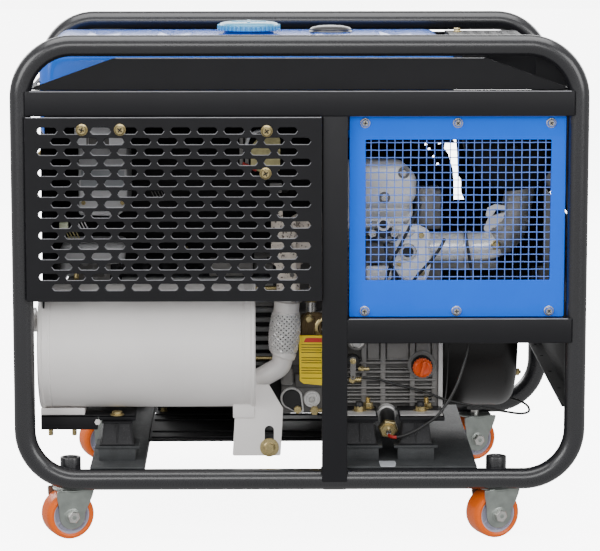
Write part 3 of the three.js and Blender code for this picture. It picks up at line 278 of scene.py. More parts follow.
# near-black for the dark insides behind the guards and inside the flex pipe: painted shade
painted_shade_black = look("shadow_black", (0.0025, 0.0025, 0.003), 0.8, grain=600, specular=0.05)
brass_old = look("brass_plate", (0.6, 0.54, 0.28), 0.42, metal=0.6, vary=0.16, blotch=90, bump=0.2)
beige = look("gasket_beige", (0.85, 0.76, 0.66), 0.7, vary=0.16, blotch=70, grain=300, bump=0.6, depth=0.5,
             specks=((0.16, 0.12, 0.1), 0.12, 240))
cream = look("connector_cream", (0.85, 0.9, 0.65), 0.45, vary=0.05, grain=700)
cover_grey = look("cover_grey", (0.85, 0.85, 0.87), 0.5, metal=0.15, vary=0.05, grain=620, bump=0.3,
                  depth=0.25)
cheek_white = look("key_chrome", (0.75, 0.75, 0.74), 0.18, metal=0.95, vary=0.04, grain=600, bump=0.04)
floor_paper = look("floor_paper", (0.82, 0.82, 0.82), 0.7, vary=0.02, blotch=3, grain=200, bump=0.02)
floor_shader = floor_paper.node_tree.nodes["Principled BSDF"]
floor_shader.inputs["Emission Color"].default_value = WHITE
floor_shader.inputs["Emission Strength"].default_value = BACKDROP_STRENGTH

# ---------------------------------------------------------------- shapes, in millimetres


def filleted(points, radius, steps=4, closed=False):
    """The same corners, each rounded to the given radius."""
    corners = [Vector(p) for p in points]
    count = len(corners)
    out = []
    for i, corner in enumerate(corners):
        if not closed and i in (0, count - 1):
            out.append(corner)
            continue
        to_last = corners[i - 1] - corner
        to_next = corners[(i + 1) % count] - corner
        reach = min(to_last.length, to_next.length) * 0.499
        to_last.normalize()
        to_next.normalize()
        turn = pi - to_last.angle(to_next)
        if turn < 0.01 or radius <= 0:
            out.append(corner)
            continue
        back = min(radius * tan(turn / 2), reach)
        centre = corner + (to_last + to_next).normalized() * back / sin(turn / 2)
        start = corner + to_last * back - centre
        end = corner + to_next * back - centre
        for k in range(steps + 1):
            t = k / steps
            out.append(centre + (start * sin((1 - t) * turn) + end * sin(t * turn)) / sin(turn))
    return out


def rectangle(x0, x1, y0, y1, radius=0, steps=4):
    return filleted([(x0, y0), (x1, y0), (x1, y1), (x0, y1)], radius, steps, True)


def spread(count):
    """Equally spaced angles round a full turn."""
    return [TAU * k / count for k in range(count)]


def circle(x, y, radius, count):
    return [Vector((x + radius * cos(a), y + radius * sin(a))) for a in spread(count)]


def placed(at, letter, angle):
    """A turn about an axis through a point."""
    return Matrix.Translation(at) @ Matrix.Rotation(angle, 4, letter)


ROUTE_SAMPLES, CORD_POINTS = 24, 96
BEAD_PITCH, BEAD_JITTER = 1.6, 0.25
FLOOR_HALF = 14


def smooth_route(points, count):
    """Evenly spread points on a smooth curve through the given ones."""
    p = [Vector(q) for q in points]
    p = [p[0] * 2 - p[1], *p, p[-1] * 2 - p[-2]]
    dense = []
    for i in range(1, len(p) - 2):
        for k in range(ROUTE_SAMPLES):
            t = k / ROUTE_SAMPLES
            dense.append(0.5 * (2 * p[i] + (p[i + 1] - p[i - 1]) * t
                                + (2 * p[i - 1] - 5 * p[i] + 4 * p[i + 1] - p[i + 2]) * t * t
                                + (3 * p[i] - p[i - 1] - 3 * p[i + 1] + p[i + 2]) * t ** 3))
    dense.append(p[-2])
    run = [0.0]
    for a, b in zip(dense, dense[1:]):
        run.append(run[-1] + (b - a).length)
    out, j = [], 0
    for i in range(count):
        want = run[-1] * i / (count - 1)
        while j < len(run) - 2 and run[j + 1] < want:
            j += 1
        share = (want - run[j]) / max(run[j + 1] - run[j], 1e-9)
        out.append(dense[j].lerp(dense[j + 1], min(1, share)))
    return out


def block(x0, x1, y0, y1, z0, z1, edge=1.0, steps=2):
    part = bmesh.new()
    bmesh.ops.create_cube(part, size=1)
    for v in part.verts:
        v.co = Vector(((x0 + x1) / 2 + v.co.x * (x1 - x0), (y0 + y1) / 2 + v.co.y * (y1 - y0),
                       (z0 + z1) / 2 + v.co.z * (z1 - z0)))
    if edge:
        bmesh.ops.bevel(part, geom=part.edges[:], offset=edge, segments=steps, profile=0.5, affect="EDGES",
                        clamp_overlap=True)
    return part


def joined_rings(rings, closed=False):
    """Faces between rings of points; a ring of one point closes to a tip."""
    part = bmesh.new()
    made = [[part.verts.new(p) for p in ring] for ring in rings]
    pairs = list(zip(made, made[1:]))
    if closed:
        pairs.append((made[-1], made[0]))
    for a, b in pairs:
        count = max(len(a), len(b))
        for i in range(count):
            j = (i + 1) % count
            corners = []
            for v in (a[i % len(a)], a[j % len(a)], b[j % len(b)], b[i % len(b)]):
                if v not in corners:
                    corners.append(v)
            if len(corners) > 2:
                part.faces.new(corners)
    if not closed:
        for ring in (made[0], made[-1]):
            if len(ring) > 2:
                part.faces.new(ring)
    bmesh.ops.recalc_face_normals(part, faces=part.faces)
    return part


def turned(profile, start, axis, sides=40, phase=0.0, closed=False):
    """A turned shape: profile points are (radius, distance along the axis)."""
    start, axis = Vector(start), Vector(axis).normalized()
    side = (UP if abs(axis.z) < 0.9 else RIGHT)
    side = (side - axis * side.dot(axis)).normalized()
    other = axis.cross(side)
    rings = []
    for radius, along in profile:
        centre = start + axis * along
        if radius < 1e-6:
            rings.append([centre])
            continue
        angles = [phase + a for a in spread(sides)]
        rings.append([centre + radius * (side * cos(a) + other * sin(a)) for a in angles])
    return joined_rings(rings, closed)


def pipe(points, radius, sides=16, closed=False):
    """A round bar along points; radius is a number, or one number for each point."""
    points = [Vector(p) for p in points]
    count = len(points)
    radii = radius if isinstance(radius, (list, tuple)) else [radius] * count
    rings, side = [], None
    for i, point in enumerate(points):
        if closed:
            tangent = points[(i + 1) % count] - points[i - 1]
        else:
            tangent = points[min(i + 1, count - 1)] - points[max(i - 1, 0)]
        tangent.normalize()
        if side is None:
            side = tangent.orthogonal()
        side = (side - tangent * side.dot(tangent)).normalized()
        other = tangent.cross(side)
        rings.append([point + radii[i] * (side * cos(a) + other * sin(a)) for a in spread(sides)])
    return joined_rings(rings, closed)


def level(loop, z):
    """A flat outline at a height."""
    return [Vector((p.x, p.y, z)) for p in loop]


def solid(*points):
    """A turned profile that closes to the axis at both ends."""
    return [(0, points[0][1]), *points, (0, points[-1][1])]


def rod(radius, length):
    return solid((radius, 0), (radius, length))


def hoop(inner, outer, length):
    return [(inner, 0), (outer, 0), (outer, length), (inner, length)]


def area_of(loop):
    return sum(a.x * b.y - b.x * a.y for a, b in zip(loop, loop[1:] + loop[:1])) / 2


def inset(loop, distance):
    """The loop moved to its left by a distance."""
    out = []
    for i, point in enumerate(loop):
        before = (point - loop[i - 1]).normalized()
        after = (loop[(i + 1) % len(loop)] - point).normalized()
        n1, n2 = Vector((-before.y, before.x)), Vector((-after.y, after.x))
        out.append(point + (n1 + n2) * distance / max(1 + n1.dot(n2), 0.3))
    return out


FLAT_XZ = Matrix(((1, 0, 0, 0), (0, 0, -1, 0), (0, 1, 0, 0), (0, 0, 0, 1)))
FLAT_YZ = Matrix(((0, 0, 1, 0), (1, 0, 0, 0), (0, 1, 0, 0), (0, 0, 0, 1)))
FLAT_XY = Matrix.Identity(4)


def plate(outline, holes, low, high, edge=0.4, plane=FLAT_XZ):
    """A flat sheet with holes, with eased edges. low and high are its two faces along the plane's normal.
    FLAT_XZ takes (x, z) points and faces along -Y, so low and high are minus y; FLAT_YZ takes (y, z)."""
    loops = []
    for k, loop in enumerate([outline, *holes]):
        loop = [Vector(p[:2]) for p in loop]
        if (area_of(loop) > 0) != (k == 0):
            loop.reverse()
        loops.append(loop)
    part = bmesh.new()
    small = [inset(loop, edge) if edge else loop for loop in loops]
    levels = [(small, low), (loops, low + edge), (loops, high - edge), (small, high)]
    if not edge:
        levels = [(loops, low), (loops, high)]
    made = [[[part.verts.new((p.x, p.y, h)) for p in loop] for loop in shape] for shape, h in levels]
    for lower, upper in zip(made, made[1:]):
        for a, b in zip(lower, upper):
            for i in range(len(a)):
                j = (i + 1) % len(a)
                part.faces.new((a[i], a[j], b[j], b[i]))
    flat = [[Vector((p.x, p.y, 0)) for p in loop] for loop in small]
    for end in (0, -1):
        corners = [v for loop in made[end] for v in loop]
        for triangle in tessellate_polygon(flat):
            try:
                part.faces.new([corners[i] for i in triangle])
            except ValueError:
                pass
    bmesh.ops.recalc_face_normals(part, faces=part.faces)
    bmesh.ops.transform(part, matrix=plane, verts=part.verts)
    return part


class Piece:
    """One visible object, collected from parts that each take one of its looks."""

    def __init__(self, name, *looks):
        self.name, self.looks, self.shape = name, looks, bmesh.new()

    def add(self, part, tone=0, matrix=None):
        if matrix is not None:
            bmesh.ops.transform(part, matrix=matrix, verts=part.verts)
            if matrix.determinant() < 0:
                bmesh.ops.reverse_faces(part, faces=part.faces)
        for face in part.faces:
            face.material_index = tone
        mesh = bpy.data.meshes.new("part")
        part.to_mesh(mesh)
        part.free()
        self.shape.from_mesh(mesh)
        bpy.data.meshes.remove(mesh)

    def turn(self, profile, start, axis, sides=40, tone=0, matrix=None, phase=0.0):
        """Adds a turned shape. A profile that doesn't reach the axis is a ring, closed on itself."""
        closed = min(profile[0][0], profile[-1][0]) > 0
        self.add(turned(profile, start, axis, sides, phase, closed), tone, matrix)

    def blocks(self, tone, *sizes, matrix=None):
        for size in sizes:
            self.add(block(*size), tone, matrix)

    def done(self, body="chassis", replaces=(), angle=32):
        bmesh.ops.scale(self.shape, vec=(MM, MM, MM), verts=self.shape.verts)
        mesh = bpy.data.meshes.new(self.name)
        self.shape.to_mesh(mesh)
        self.shape.free()
        for material in self.looks:
            mesh.materials.append(material)
        mesh.polygons.foreach_set("use_smooth", [True] * len(mesh.polygons))
        mesh.set_sharp_from_angle(angle=radians(angle))
        piece = bpy.data.objects.new(self.name, mesh)
        bpy.context.scene.collection.objects.link(piece)
        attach(piece, body)
        if replaces:
            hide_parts(*([replaces] if isinstance(replaces, str) else replaces))
        return piece


def hex_head(piece, at, axis, across, height, tone=0, flange=0, stud=0, phase=None):
    """A hexagon head or nut standing on a surface, with an optional flange and stud end."""
    at, axis = Vector(at), Vector(axis).normalized()
    if flange:
        piece.turn(solid((flange, 0), (flange, 0.9), (across * 0.52, 2.4)), at, axis, 28, tone)
        at = at + axis * 1.2
    corner = across / sqrt(3)
    phase = random.uniform(0, TAU) if phase is None else phase
    piece.turn(solid((corner, 0), (corner, height * 0.82), (corner * 0.86, height)), at, axis, 6, tone,
               phase=phase)
    if stud:
        radius = across * 0.28
        rings = [(0, 0)]
        for step in range(stud):
            rings += [(radius, height + step), (radius * 0.88, height + step + 0.5)]
        rings += [(radius * 0.7, height + stud), (0, height + stud)]
        piece.turn(rings, at, axis, 14, tone)


def cross_screw(piece, at, axis, radius, height, tone=0, recess_shade_index=0, washer=0):
    """A flanged screw with a cross recess, drawn as a cross of dark blocks: painted shade."""
    at, axis = Vector(at), Vector(axis).normalized()
    if washer:
        piece.turn(solid((washer, 0), (washer, 1.0), (washer - 0.5, 1.5)), at, axis, 32, tone)
        at = at + axis * 1.4
    piece.turn(solid((radius, 0), (radius, height * 0.3), (radius * 0.8, height * 0.7),
                     (radius * 0.72, height), (radius * 0.42, height), (radius * 0.36, height - 1.2)), at,
               axis, 28, tone)
    side = axis.orthogonal().normalized()
    other = axis.cross(side)
    turn = random.uniform(0, pi / 2)
    arm, half = radius * 0.55, radius * 0.1
    # the recess as a dark cross: painted shade
    for k in range(2):
        a = side * cos(turn + k * pi / 2) + other * sin(turn + k * pi / 2)
        basis = Matrix((a, axis.cross(a), axis)).transposed().to_4x4()
        basis.translation = at + axis * (height - 0.35)
        piece.add(block(-arm, arm, -half, half, -0.6, 0.5, 0.1, 1), recess_shade_index, basis)


def bead(piece, a, b, radius):
    """A rippled line of weld."""
    a, b = Vector(a), Vector(b)
    count = max(6, int((b - a).length / BEAD_PITCH))
    points, radii = [], []
    for i in range(count + 1):
        points.append(a.lerp(b, i / count) + Vector([random.uniform(-BEAD_JITTER, BEAD_JITTER)
                                                     for _ in range(3)]))
        radii.append(radius * (0.82 + 0.2 * (i % 2)) * (0.4 if i in (0, count) else 1))
    piece.add(pipe(points, radii, 8))

# ---------------------------------------------------------------- free cords

SENSOR_LEAD = [(147, -253.8, 161.4), (150, -260, 160), (158, -264, 160), (170, -267, 163), (184, -269, 169),
               (199, -268, 177), (224, -268, 195), (242, -264, 218), (256, -260, 243), (267, -253, 272),
               (276, -245, 303), (281, -236, 345), (283.5, -228, 390), (283, -223.6, 422),
               (279.5, -223.6, 445), (276, -223.6, 468), (272.5, -217, 488), (270.5, -203, 496)]
STOP_CABLE = [(106, -176, 243), (130, -177, 240), (160, -178, 232), (210, -182, 219), (245, -184, 206),
              (285, -184, 197), (320, -184, 190), (347, -182, 185), (371, -177, 181), (385, -164, 182),
              (385, -142, 187), (374, -118, 191), (361, -102, 192)]


def run_length(points):
    return sum((b - a).length for a, b in zip(points, points[1:])) * MM


def free_cord(name, node, route, radius, sleeve=0):
    """A round cord along its CAD route, with an optional coloured sleeve over its first stretch."""
    points = smooth_route(route, CORD_POINTS)
    curve = bpy.data.curves.new(name, "CURVE")
    curve.dimensions = "3D"
    spline = curve.splines.new("POLY")
    spline.points.add(len(points) - 1)
    for target, point in zip(spline.points, points):
        target.co = (*(point * MM), 1)
    curve.bevel_depth = radius * MM
    curve.bevel_resolution = 4
    curve.use_fill_caps = True
    curve.materials.append(cable_black)
    cord = bpy.data.objects.new(name, curve)
    bpy.context.scene.collection.objects.link(cord)
    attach(cord, "chassis")
    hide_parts(node)
    if sleeve:
        cover = Piece(f"{name}_sleeve", red_plastic)
        cover.add(pipe([p for i, p in enumerate(points) if run_length(points[:i + 1]) <= sleeve * MM],
                       radius + 0.35, 16))
        cover.done()


free_cord("sensor_lead_cord", "sensor_lead", SENSOR_LEAD, 2.4, 18)
free_cord("stop_cable_cord", "stop_cable", STOP_CABLE, 2.0)

# ---------------------------------------------------------------- side loops and rails

TUBE = 17
LOOP_Y = 310
LOOP_HALF = 445
LOOP_BOTTOM, LOOP_TOP = 101, 805
LOOP_BEND = 83
SOCKET_RADIUS, SOCKET_BORE = 16.8, 11.5
SOCKET_LOW = 92
SOCKET_HIGH = {"near": 133, "far": 118}
SIDES = {"near": -1, "far": 1}
CASTERS = [f"{side}_{end}" for side in SIDES for end in ("left", "right")]

SWIVEL_AT = {joint["name"]: joint["pos_m"] for joint in frame["record"]["behaviour"]["joints"]}


def swivel_of(name):
    """Where a caster's swivel axis meets the floor plane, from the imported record."""
    x, y = SWIVEL_AT[f"{name}_swivel_turn"][:2]
    return x / MM, y / MM


def side_loop(side, sign):
    y = sign * LOOP_Y
    piece = Piece(f"frame_loop_{side}", tube_black)
    corners = [(-LOOP_HALF, y, LOOP_BOTTOM), (LOOP_HALF, y, LOOP_BOTTOM), (LOOP_HALF, y, LOOP_TOP),
               (-LOOP_HALF, y, LOOP_TOP)]
    piece.add(pipe(filleted(corners, LOOP_BEND, 16, True), TUBE, 40, True))
    for end in ("left", "right"):
        x, socket_y = swivel_of(f"{side}_{end}")
        r, b = SOCKET_RADIUS, SOCKET_BORE
        height = SOCKET_HIGH[side] - SOCKET_LOW
        profile = filleted([(b, 0), (r, 0), (r, height), (b, height)], 1.0, 2, True)
        piece.turn([(p.x, p.y) for p in profile], (x, socket_y, SOCKET_LOW), UP, 40)
    # the tube's own seam, where its ends are welded behind the post's foot
    piece.add(pipe([(x, y, LOOP_BOTTOM) for x in (38, 40, 73, 75)], [TUBE, TUBE + 0.7, TUBE + 0.7, TUBE],
                   32))
    piece.done(replaces=f"{side}_frame_loop")


for side_name, side_sign in SIDES.items():
    side_loop(side_name, side_sign)

RAIL_FRONT, RAIL_BACK = 329, 303
TOP_RAIL = (694, 734)
MID_RAIL = (327.5, 367.5)
POST = (35.5, 76.3)
RAIL_END = 437


def side_rails(side, sign):
    piece = Piece(f"side_rails_{side}", black, painted_highlight_edge)
    y0, y1 = sorted((sign * RAIL_FRONT, sign * RAIL_BACK))
    piece.blocks(0, (-RAIL_END, RAIL_END, y0, y1, *TOP_RAIL, 2.2, 3),
                 (*POST, y0, y1, 99.5, TOP_RAIL[0] + 0.5, 2.2, 3),
                 (POST[1] - 0.5, RAIL_END, y0, y1, *MID_RAIL, 2.2, 3))
    if sign < 0:
        for z0, z1 in ((TOP_RAIL[0] - 24, TOP_RAIL[0] + 1), (MID_RAIL[1] - 1, MID_RAIL[1] + 24)):
            piece.add(block(POST[1] - 1, RAIL_END, -LOOP_Y, 3 - LOOP_Y, z0, z1, 0.6, 1))
    # pale strips along the top front edges of the mid and top rails: painted highlight
    y_edge = sorted((sign * (RAIL_FRONT + 0.25), sign * (RAIL_FRONT - 1.5)))
    for x0, z in ((POST[1] + 2, MID_RAIL[1]), (8 - RAIL_END, TOP_RAIL[1])):
        piece.add(block(x0, RAIL_END - 6, *y_edge, z - 1.1, z + 0.35, 0.3, 1), 1)
    front = sign * (RAIL_FRONT - 1)
    for x, z0, z1 in ((-RAIL_END + 7, TOP_RAIL[0] + 3, TOP_RAIL[1] - 3),
                      (RAIL_END - 7, TOP_RAIL[0] + 3, TOP_RAIL[1] - 3),
                      (RAIL_END - 8, MID_RAIL[0] + 3, MID_RAIL[1] - 3)):
        reach = 1 if x > 0 else -1
        bead(piece, (x, sign * (RAIL_FRONT - 4), z1 + 1), (x + reach * 6, sign * (RAIL_FRONT - 9), z1 + 2),
             2.4)
        bead(piece, (x + reach * 5, sign * (RAIL_FRONT - 10), z0),
             (x + reach * 5, sign * (RAIL_FRONT - 10), z1), 2.6)
    for x in POST:
        bead(piece, (x, front, TOP_RAIL[0]), (x, sign * RAIL_BACK, TOP_RAIL[0]), 1.8)
        bead(piece, (x, front, 118.5), (x, sign * RAIL_BACK, 118.5), 2.0)
    bead(piece, (POST[1], front + sign * 0.3, MID_RAIL[0] + 2),
         (POST[1], front + sign * 0.3, MID_RAIL[1] - 2), 0.9)
    piece.done(replaces=f"{side}_side_rails")


for side_name, side_sign in SIDES.items():
    side_rails(side_name, side_sign)

# ---------------------------------------------------------------- base


CHANNEL_LOW, CHANNEL_TOP = 104, 122
CHANNEL_SHEET = 2.6
CHANNEL_END = 290
PAD_Y = 235


def crossmember(name, node, pads):
    b = BOX[node]
    piece = Piece(name, plate_grey, label_plain)
    low, top, sheet = CHANNEL_LOW, CHANNEL_TOP, CHANNEL_SHEET
    # a folded sheet channel with down-turned edges
    section = [(b.x0, low), (b.x0 + sheet, low), (b.x0 + sheet, top - 3), (b.x1 - sheet, top - 3),
               (b.x1 - sheet, low), (b.x1, low), (b.x1, top - 1), (b.x0, top - 1)]
    piece.add(plate(section, [], -CHANNEL_END, CHANNEL_END, 0.5))
    piece.add(block(b.x0, b.x1, b.y0, b.y1, top - 3.7, top, 0.8, 2))
    for x in pads:
        for sign in (-1, 1):
            y = sign * PAD_Y
            piece.blocks(0, (x - 30, x + 30, y - 27, y + 27, top - 1, b.z1 - 4, 1.2, 2),
                         (x - 36, x + 36, y - 29, y + 28, b.z1 - 4.6, b.z1, 1.2, 2))
    if b.x1 > 200:
        scuff = filleted([(131, -316), (129.5, -273), (156, -272), (157, -290), (154.5, -316)], 3, 3, True)
        piece.add(plate(scuff, [], top - 0.2, top + 0.35, 0.1, FLAT_XY), 1)
    piece.done(replaces=node)


FOOT_LOW = 186.3
crossmember("crossmember_left", "left_crossmember", [-299])
crossmember("crossmember_right", "right_crossmember", [100, 191])


def engine_bed():
    b = BOX["engine_bed"]
    piece = Piece("engine_bed_plate", black_sheet, gold_zinc)
    far_edge = 120
    piece.add(block(b.x0, b.x1, b.y0, far_edge, b.z1 - 4, b.z1, 1.0, 2))
    for y in (b.y0, far_edge - 4):
        piece.add(block(b.x0, b.x1, y, y + 4, b.z1 - 3.4, b.z1 - 0.5, 0.8, 2))
    for y in (b.y0 + 12, b.y0 + 60, far_edge - 64, far_edge - 16):
        piece.add(block(b.x0 + 4, b.x1 - 4, y, y + 3, b.z1 - 1, b.z1 + 2.4, 0.8, 2))
    piece.add(block(-250, -10, far_edge - 1, b.y1, b.z1 - 6, b.z1, 1.0, 2))
    for x in (-236, -24):
        for y in (140, 286):
            hex_head(piece, (x, min(y, b.y1 - 9), b.z1), UP, 10, 5, 1, flange=7)
    piece.done(replaces="engine_bed")


engine_bed()


def rubber_mount(node):
    b = BOX[node]
    piece = Piece(f"{node}_block", rubber, zinc, black_sheet)
    waist = []
    for z, grow in ((b.z0 + 2, 0.5), (b.z0 + 5, -1.0), (b.cz, -3.0), (b.z1 - 6, -4.4), (b.z1 - 2, -4.0)):
        waist.append(level(rectangle(b.x0 - grow, b.x1 + grow, b.y0 - grow, b.y1 + grow, 5, 4), z))
    piece.add(joined_rings(waist))
    for y in (b.y0 + 1.4, b.y1 - 1.4):
        piece.add(pipe([(b.cx, y, b.z0 + 4), (b.cx, y + (0.8 if y < b.cy else -0.8), b.cz),
                        (b.cx, y, b.z1 - 4)], 1.5, 8))
    piece.blocks(2, (b.x0 - 2, b.x1 + 2, b.y0 - 1, b.y1 + 1, b.z0, b.z0 + 2.4, 0.7, 2),
                 (b.x0 + 2, b.x1 - 2, b.y0 + 1, b.y1 - 1, b.z1 - 2.4, b.z1, 0.7, 2))
    piece.done(replaces=node)


for node_name in BOX:
    if node_name.endswith("_rubber_mount"):
        rubber_mount(node_name)

# ---------------------------------------------------------------- tank tray, tank, cap and hood


def tank_tray():
    b = BOX["tank_tray"]
    tank = BOX["fuel_tank"]
    piece = Piece("tank_tray_sheet", black_sheet, gold_zinc, painted_highlight_edge)
    base, top = b.z0, b.z1 + 5.5
    tank_hole = rectangle(tank.x0 - 4, tank.x1 + 4, tank.y0 - 4, tank.y1 + 4, 16)
    end_hole = rectangle(tank.x1 + 40, b.x1 - 30, tank.y0 + 8, tank.y1 - 8, 10)
    piece.add(plate(rectangle(b.x0 + 6, b.x1 - 6, -304, 304, 4), [tank_hole, end_hole], base, base + 3, 0.7,
                    FLAT_XY))
    outline = [(b.x0, base), (b.x1, base), (297, top), (-297, top)]
    for sign in (-1, 1):
        low, high = (305, 308) if sign < 0 else (-308, -305)
        piece.add(plate(filleted(outline, 3, 3, True), [], low, high, 0.8))
        # turned-in top edge that stiffens the plate
        y0, y1 = sorted((sign * 307.6, sign * 296))
        piece.add(block(-295, 295, y0, y1, top - 2.6, top, 1.1, 3))
        # pale strip along the top of each end plate: painted highlight
        y0, y1 = sorted((sign * 308.3, sign * 307))
        piece.add(block(-293, 293, y0, y1, top - 0.9, top + 0.2, 0.3, 1), 2)
    piece.done(replaces="tank_tray")


tank_tray()


def rounded_body(x0, x1, y0, y1, z0, z1, corner, edge, steps=6, crown=0.0):
    """A pressed box with rounded corners in plan and rounded edges, and a crowned top if asked for."""
    rings = []

    def ring(inset_by, z):
        shape = rectangle(x0 + inset_by, x1 - inset_by, y0 + inset_by, y1 - inset_by,
                          max(corner - inset_by, 2), 6)
        rings.append(level(shape, z))

    for k in range(steps + 1):
        a = pi / 2 * k / steps
        ring(edge * (1 - sin(a)), z0 + edge * (1 - cos(a)))
    for k in range(steps + 1):
        a = pi / 2 * k / steps
        ring(edge * (1 - cos(a)), z1 - edge * (1 - sin(a)))
    if crown:
        ring(edge + 30, z1 + crown * 0.7)
        ring(edge + 70, z1 + crown)
    return joined_rings(rings)


TANK_TOP = 797


def fuel_tank():
    b = BOX["fuel_tank"]
    top = TANK_TOP
    piece = Piece("fuel_tank_shell", tank_blue, blue, cap_neck, label_plain, gold_zinc, black_sheet)
    piece.add(rounded_body(b.x0, b.x1, b.y0, b.y1, b.z0, top - 1.2, 26, 22, crown=1.2))
    # welded seam flange round the middle
    seam = rectangle(b.x0 - 3, b.x1 + 3, b.y0 - 3, b.y1 + 3, 28, 6)
    piece.add(plate(seam, [rectangle(b.x0 + 3, b.x1 - 3, b.y0 + 3, b.y1 - 3, 22, 6)], 716, 718.6, 0.8,
                    FLAT_XY))
    for x in (-330, -210, 60, 170):
        piece.add(rounded_body(x - 30, x + 30, -150, 150, top - 3, top + 1.4, 20, 1.5, 3))
    cap = BOX["fuel_cap"]
    neck = [(0, 0), (46, 0), (44, 3), (41, 5), (40.5, b.z1 - top + 1.5), (0, b.z1 - top + 1.5)]
    piece.turn(neck, (cap.cx, cap.cy, top - 1.5), UP, 48, 2)
    # plain plate on the front half of the top
    piece.add(block(-300, -180, -170, -80, top - 0.5, top + 1.8, 0.5, 1), 3)
    for x in (b.x0 + 14, b.x1 - 14):
        for y in (-200, 200):
            piece.add(block(x - 16, x + 16, y - 14, y + 14, 737.5, 740.5, 0.6, 1), 5)
            hex_head(piece, (x, y, 740), UP, 13, 6, 4, flange=9)
    piece.done(replaces="fuel_tank")


fuel_tank()


def fuel_cap():
    b = BOX["fuel_cap"]
    radius = (b.x1 - b.x0) / 2
    height = b.z1 - b.z0
    piece = Piece("fuel_cap_turned", cap_blue, cap_neck)
    piece.turn(solid((radius - 5, 0.4), (radius - 3.4, 1.6), (radius - 3.4, height * 0.62),
                     (radius - 5.5, height * 0.8), (radius - 11, height - 1.2), (radius - 20, height - 0.3),
                     (20, height)), (b.cx, b.cy, b.z0), UP, 72)
    for a in spread(40):
        place = placed((b.cx, b.cy, b.z0), "Z", a)
        piece.add(block(radius - 5.5, radius - 0.4, -2.2, 2.2, 0.8, height * 0.66, 1.0, 2), 0, place)
    for a in (0, TAU / 4):
        place = placed((b.cx, b.cy, b.z0), "Z", a)
        piece.add(block(-30, 30, -3.4, 3.4, height - 1.5, height + 0.9, 0.9, 2), 0, place)
    piece.done("fuel_cap", replaces="fuel_cap")


fuel_cap()


def fuel_gauge():
    piece = Piece("fuel_gauge", gauge_brown, white_plastic, zinc)
    at = (59, 118, TANK_TOP - 1)
    piece.turn(solid((38, 0), (38, 3), (36, 5)), at, UP, 44)
    piece.turn([(36, 4), (36, 7), (32, 10), (20, 12.4), (0, 13.4)], at, UP, 44)
    piece.done()


fuel_gauge()


def air_hood():
    b = BOX["air_hood"]
    sheet = 2
    slant_x, slant_z = 414, 768
    top_x = 392
    piece = Piece("air_hood_sheet", black, gold_zinc)
    outline = [(b.x0, b.z0), (b.x1, b.z0), (slant_x, slant_z), (top_x, b.z1), (b.x0, b.z1)]
    rounded = filleted(outline, 5, 4, True)
    for y in (b.y0, b.y1 - sheet):
        piece.add(plate(rounded, [], -y - sheet, -y, 0.6))
    slots = []
    for row in (105, 130, 155, 180):
        for i in range(5):
            x = b.x0 + 26 + i * 20
            slots.append(rectangle(x, x + 12, row, row + 9, 3, 3))
            slots.append(rectangle(x, x + 12, -row - 9, -row, 3, 3))
    piece.add(plate(rectangle(b.x0, top_x - 4, b.y0, b.y1, 2), slots, b.z1 - sheet, b.z1, 0.5, FLAT_XY))
    wall = [(top_x - 5, b.z1), (top_x - 5, b.z1 - sheet), (top_x - 1.5, b.z1 - sheet - 1),
            (slant_x - 2.2, slant_z - 1), (b.x1 - 2.2, b.z0), (b.x1, b.z0), (slant_x, slant_z),
            (top_x + 0.5, b.z1 - 1.4)]
    piece.add(plate(wall, [], b.y0, b.y1, 0.3))
    piece.add(block(b.x0, b.x0 + sheet, b.y0, b.y1, b.z0, b.z1, 0.5, 1))
    for y in (-190, 190):
        hex_head(piece, (b.x0 + 20, y, b.z1), UP, 10, 5, 1, flange=7)
    piece.done(replaces="air_hood")


air_hood()

# ---------------------------------------------------------------- guards

SLOT_LENGTH, SLOT_HEIGHT = 32.4, 10.6
SLOT_PITCH_X, SLOT_PITCH_Z = 42.3, 16.73
SLOT_ROWS, SLOT_COLUMNS = 16, 10
SLOT_FIRST_X, SLOT_FIRST_Z = -401, 672.3


def slot_outline(x, z):
    """A long slot whose ends are drawn in."""
    a, h = SLOT_LENGTH / 2, SLOT_HEIGHT / 2
    return filleted([(x - a, z), (x - a + 3.4, z - h), (x + a - 3.4, z - h), (x + a, z),
                     (x + a - 3.4, z + h), (x - a + 3.4, z + h)], 4.2, 3, True)


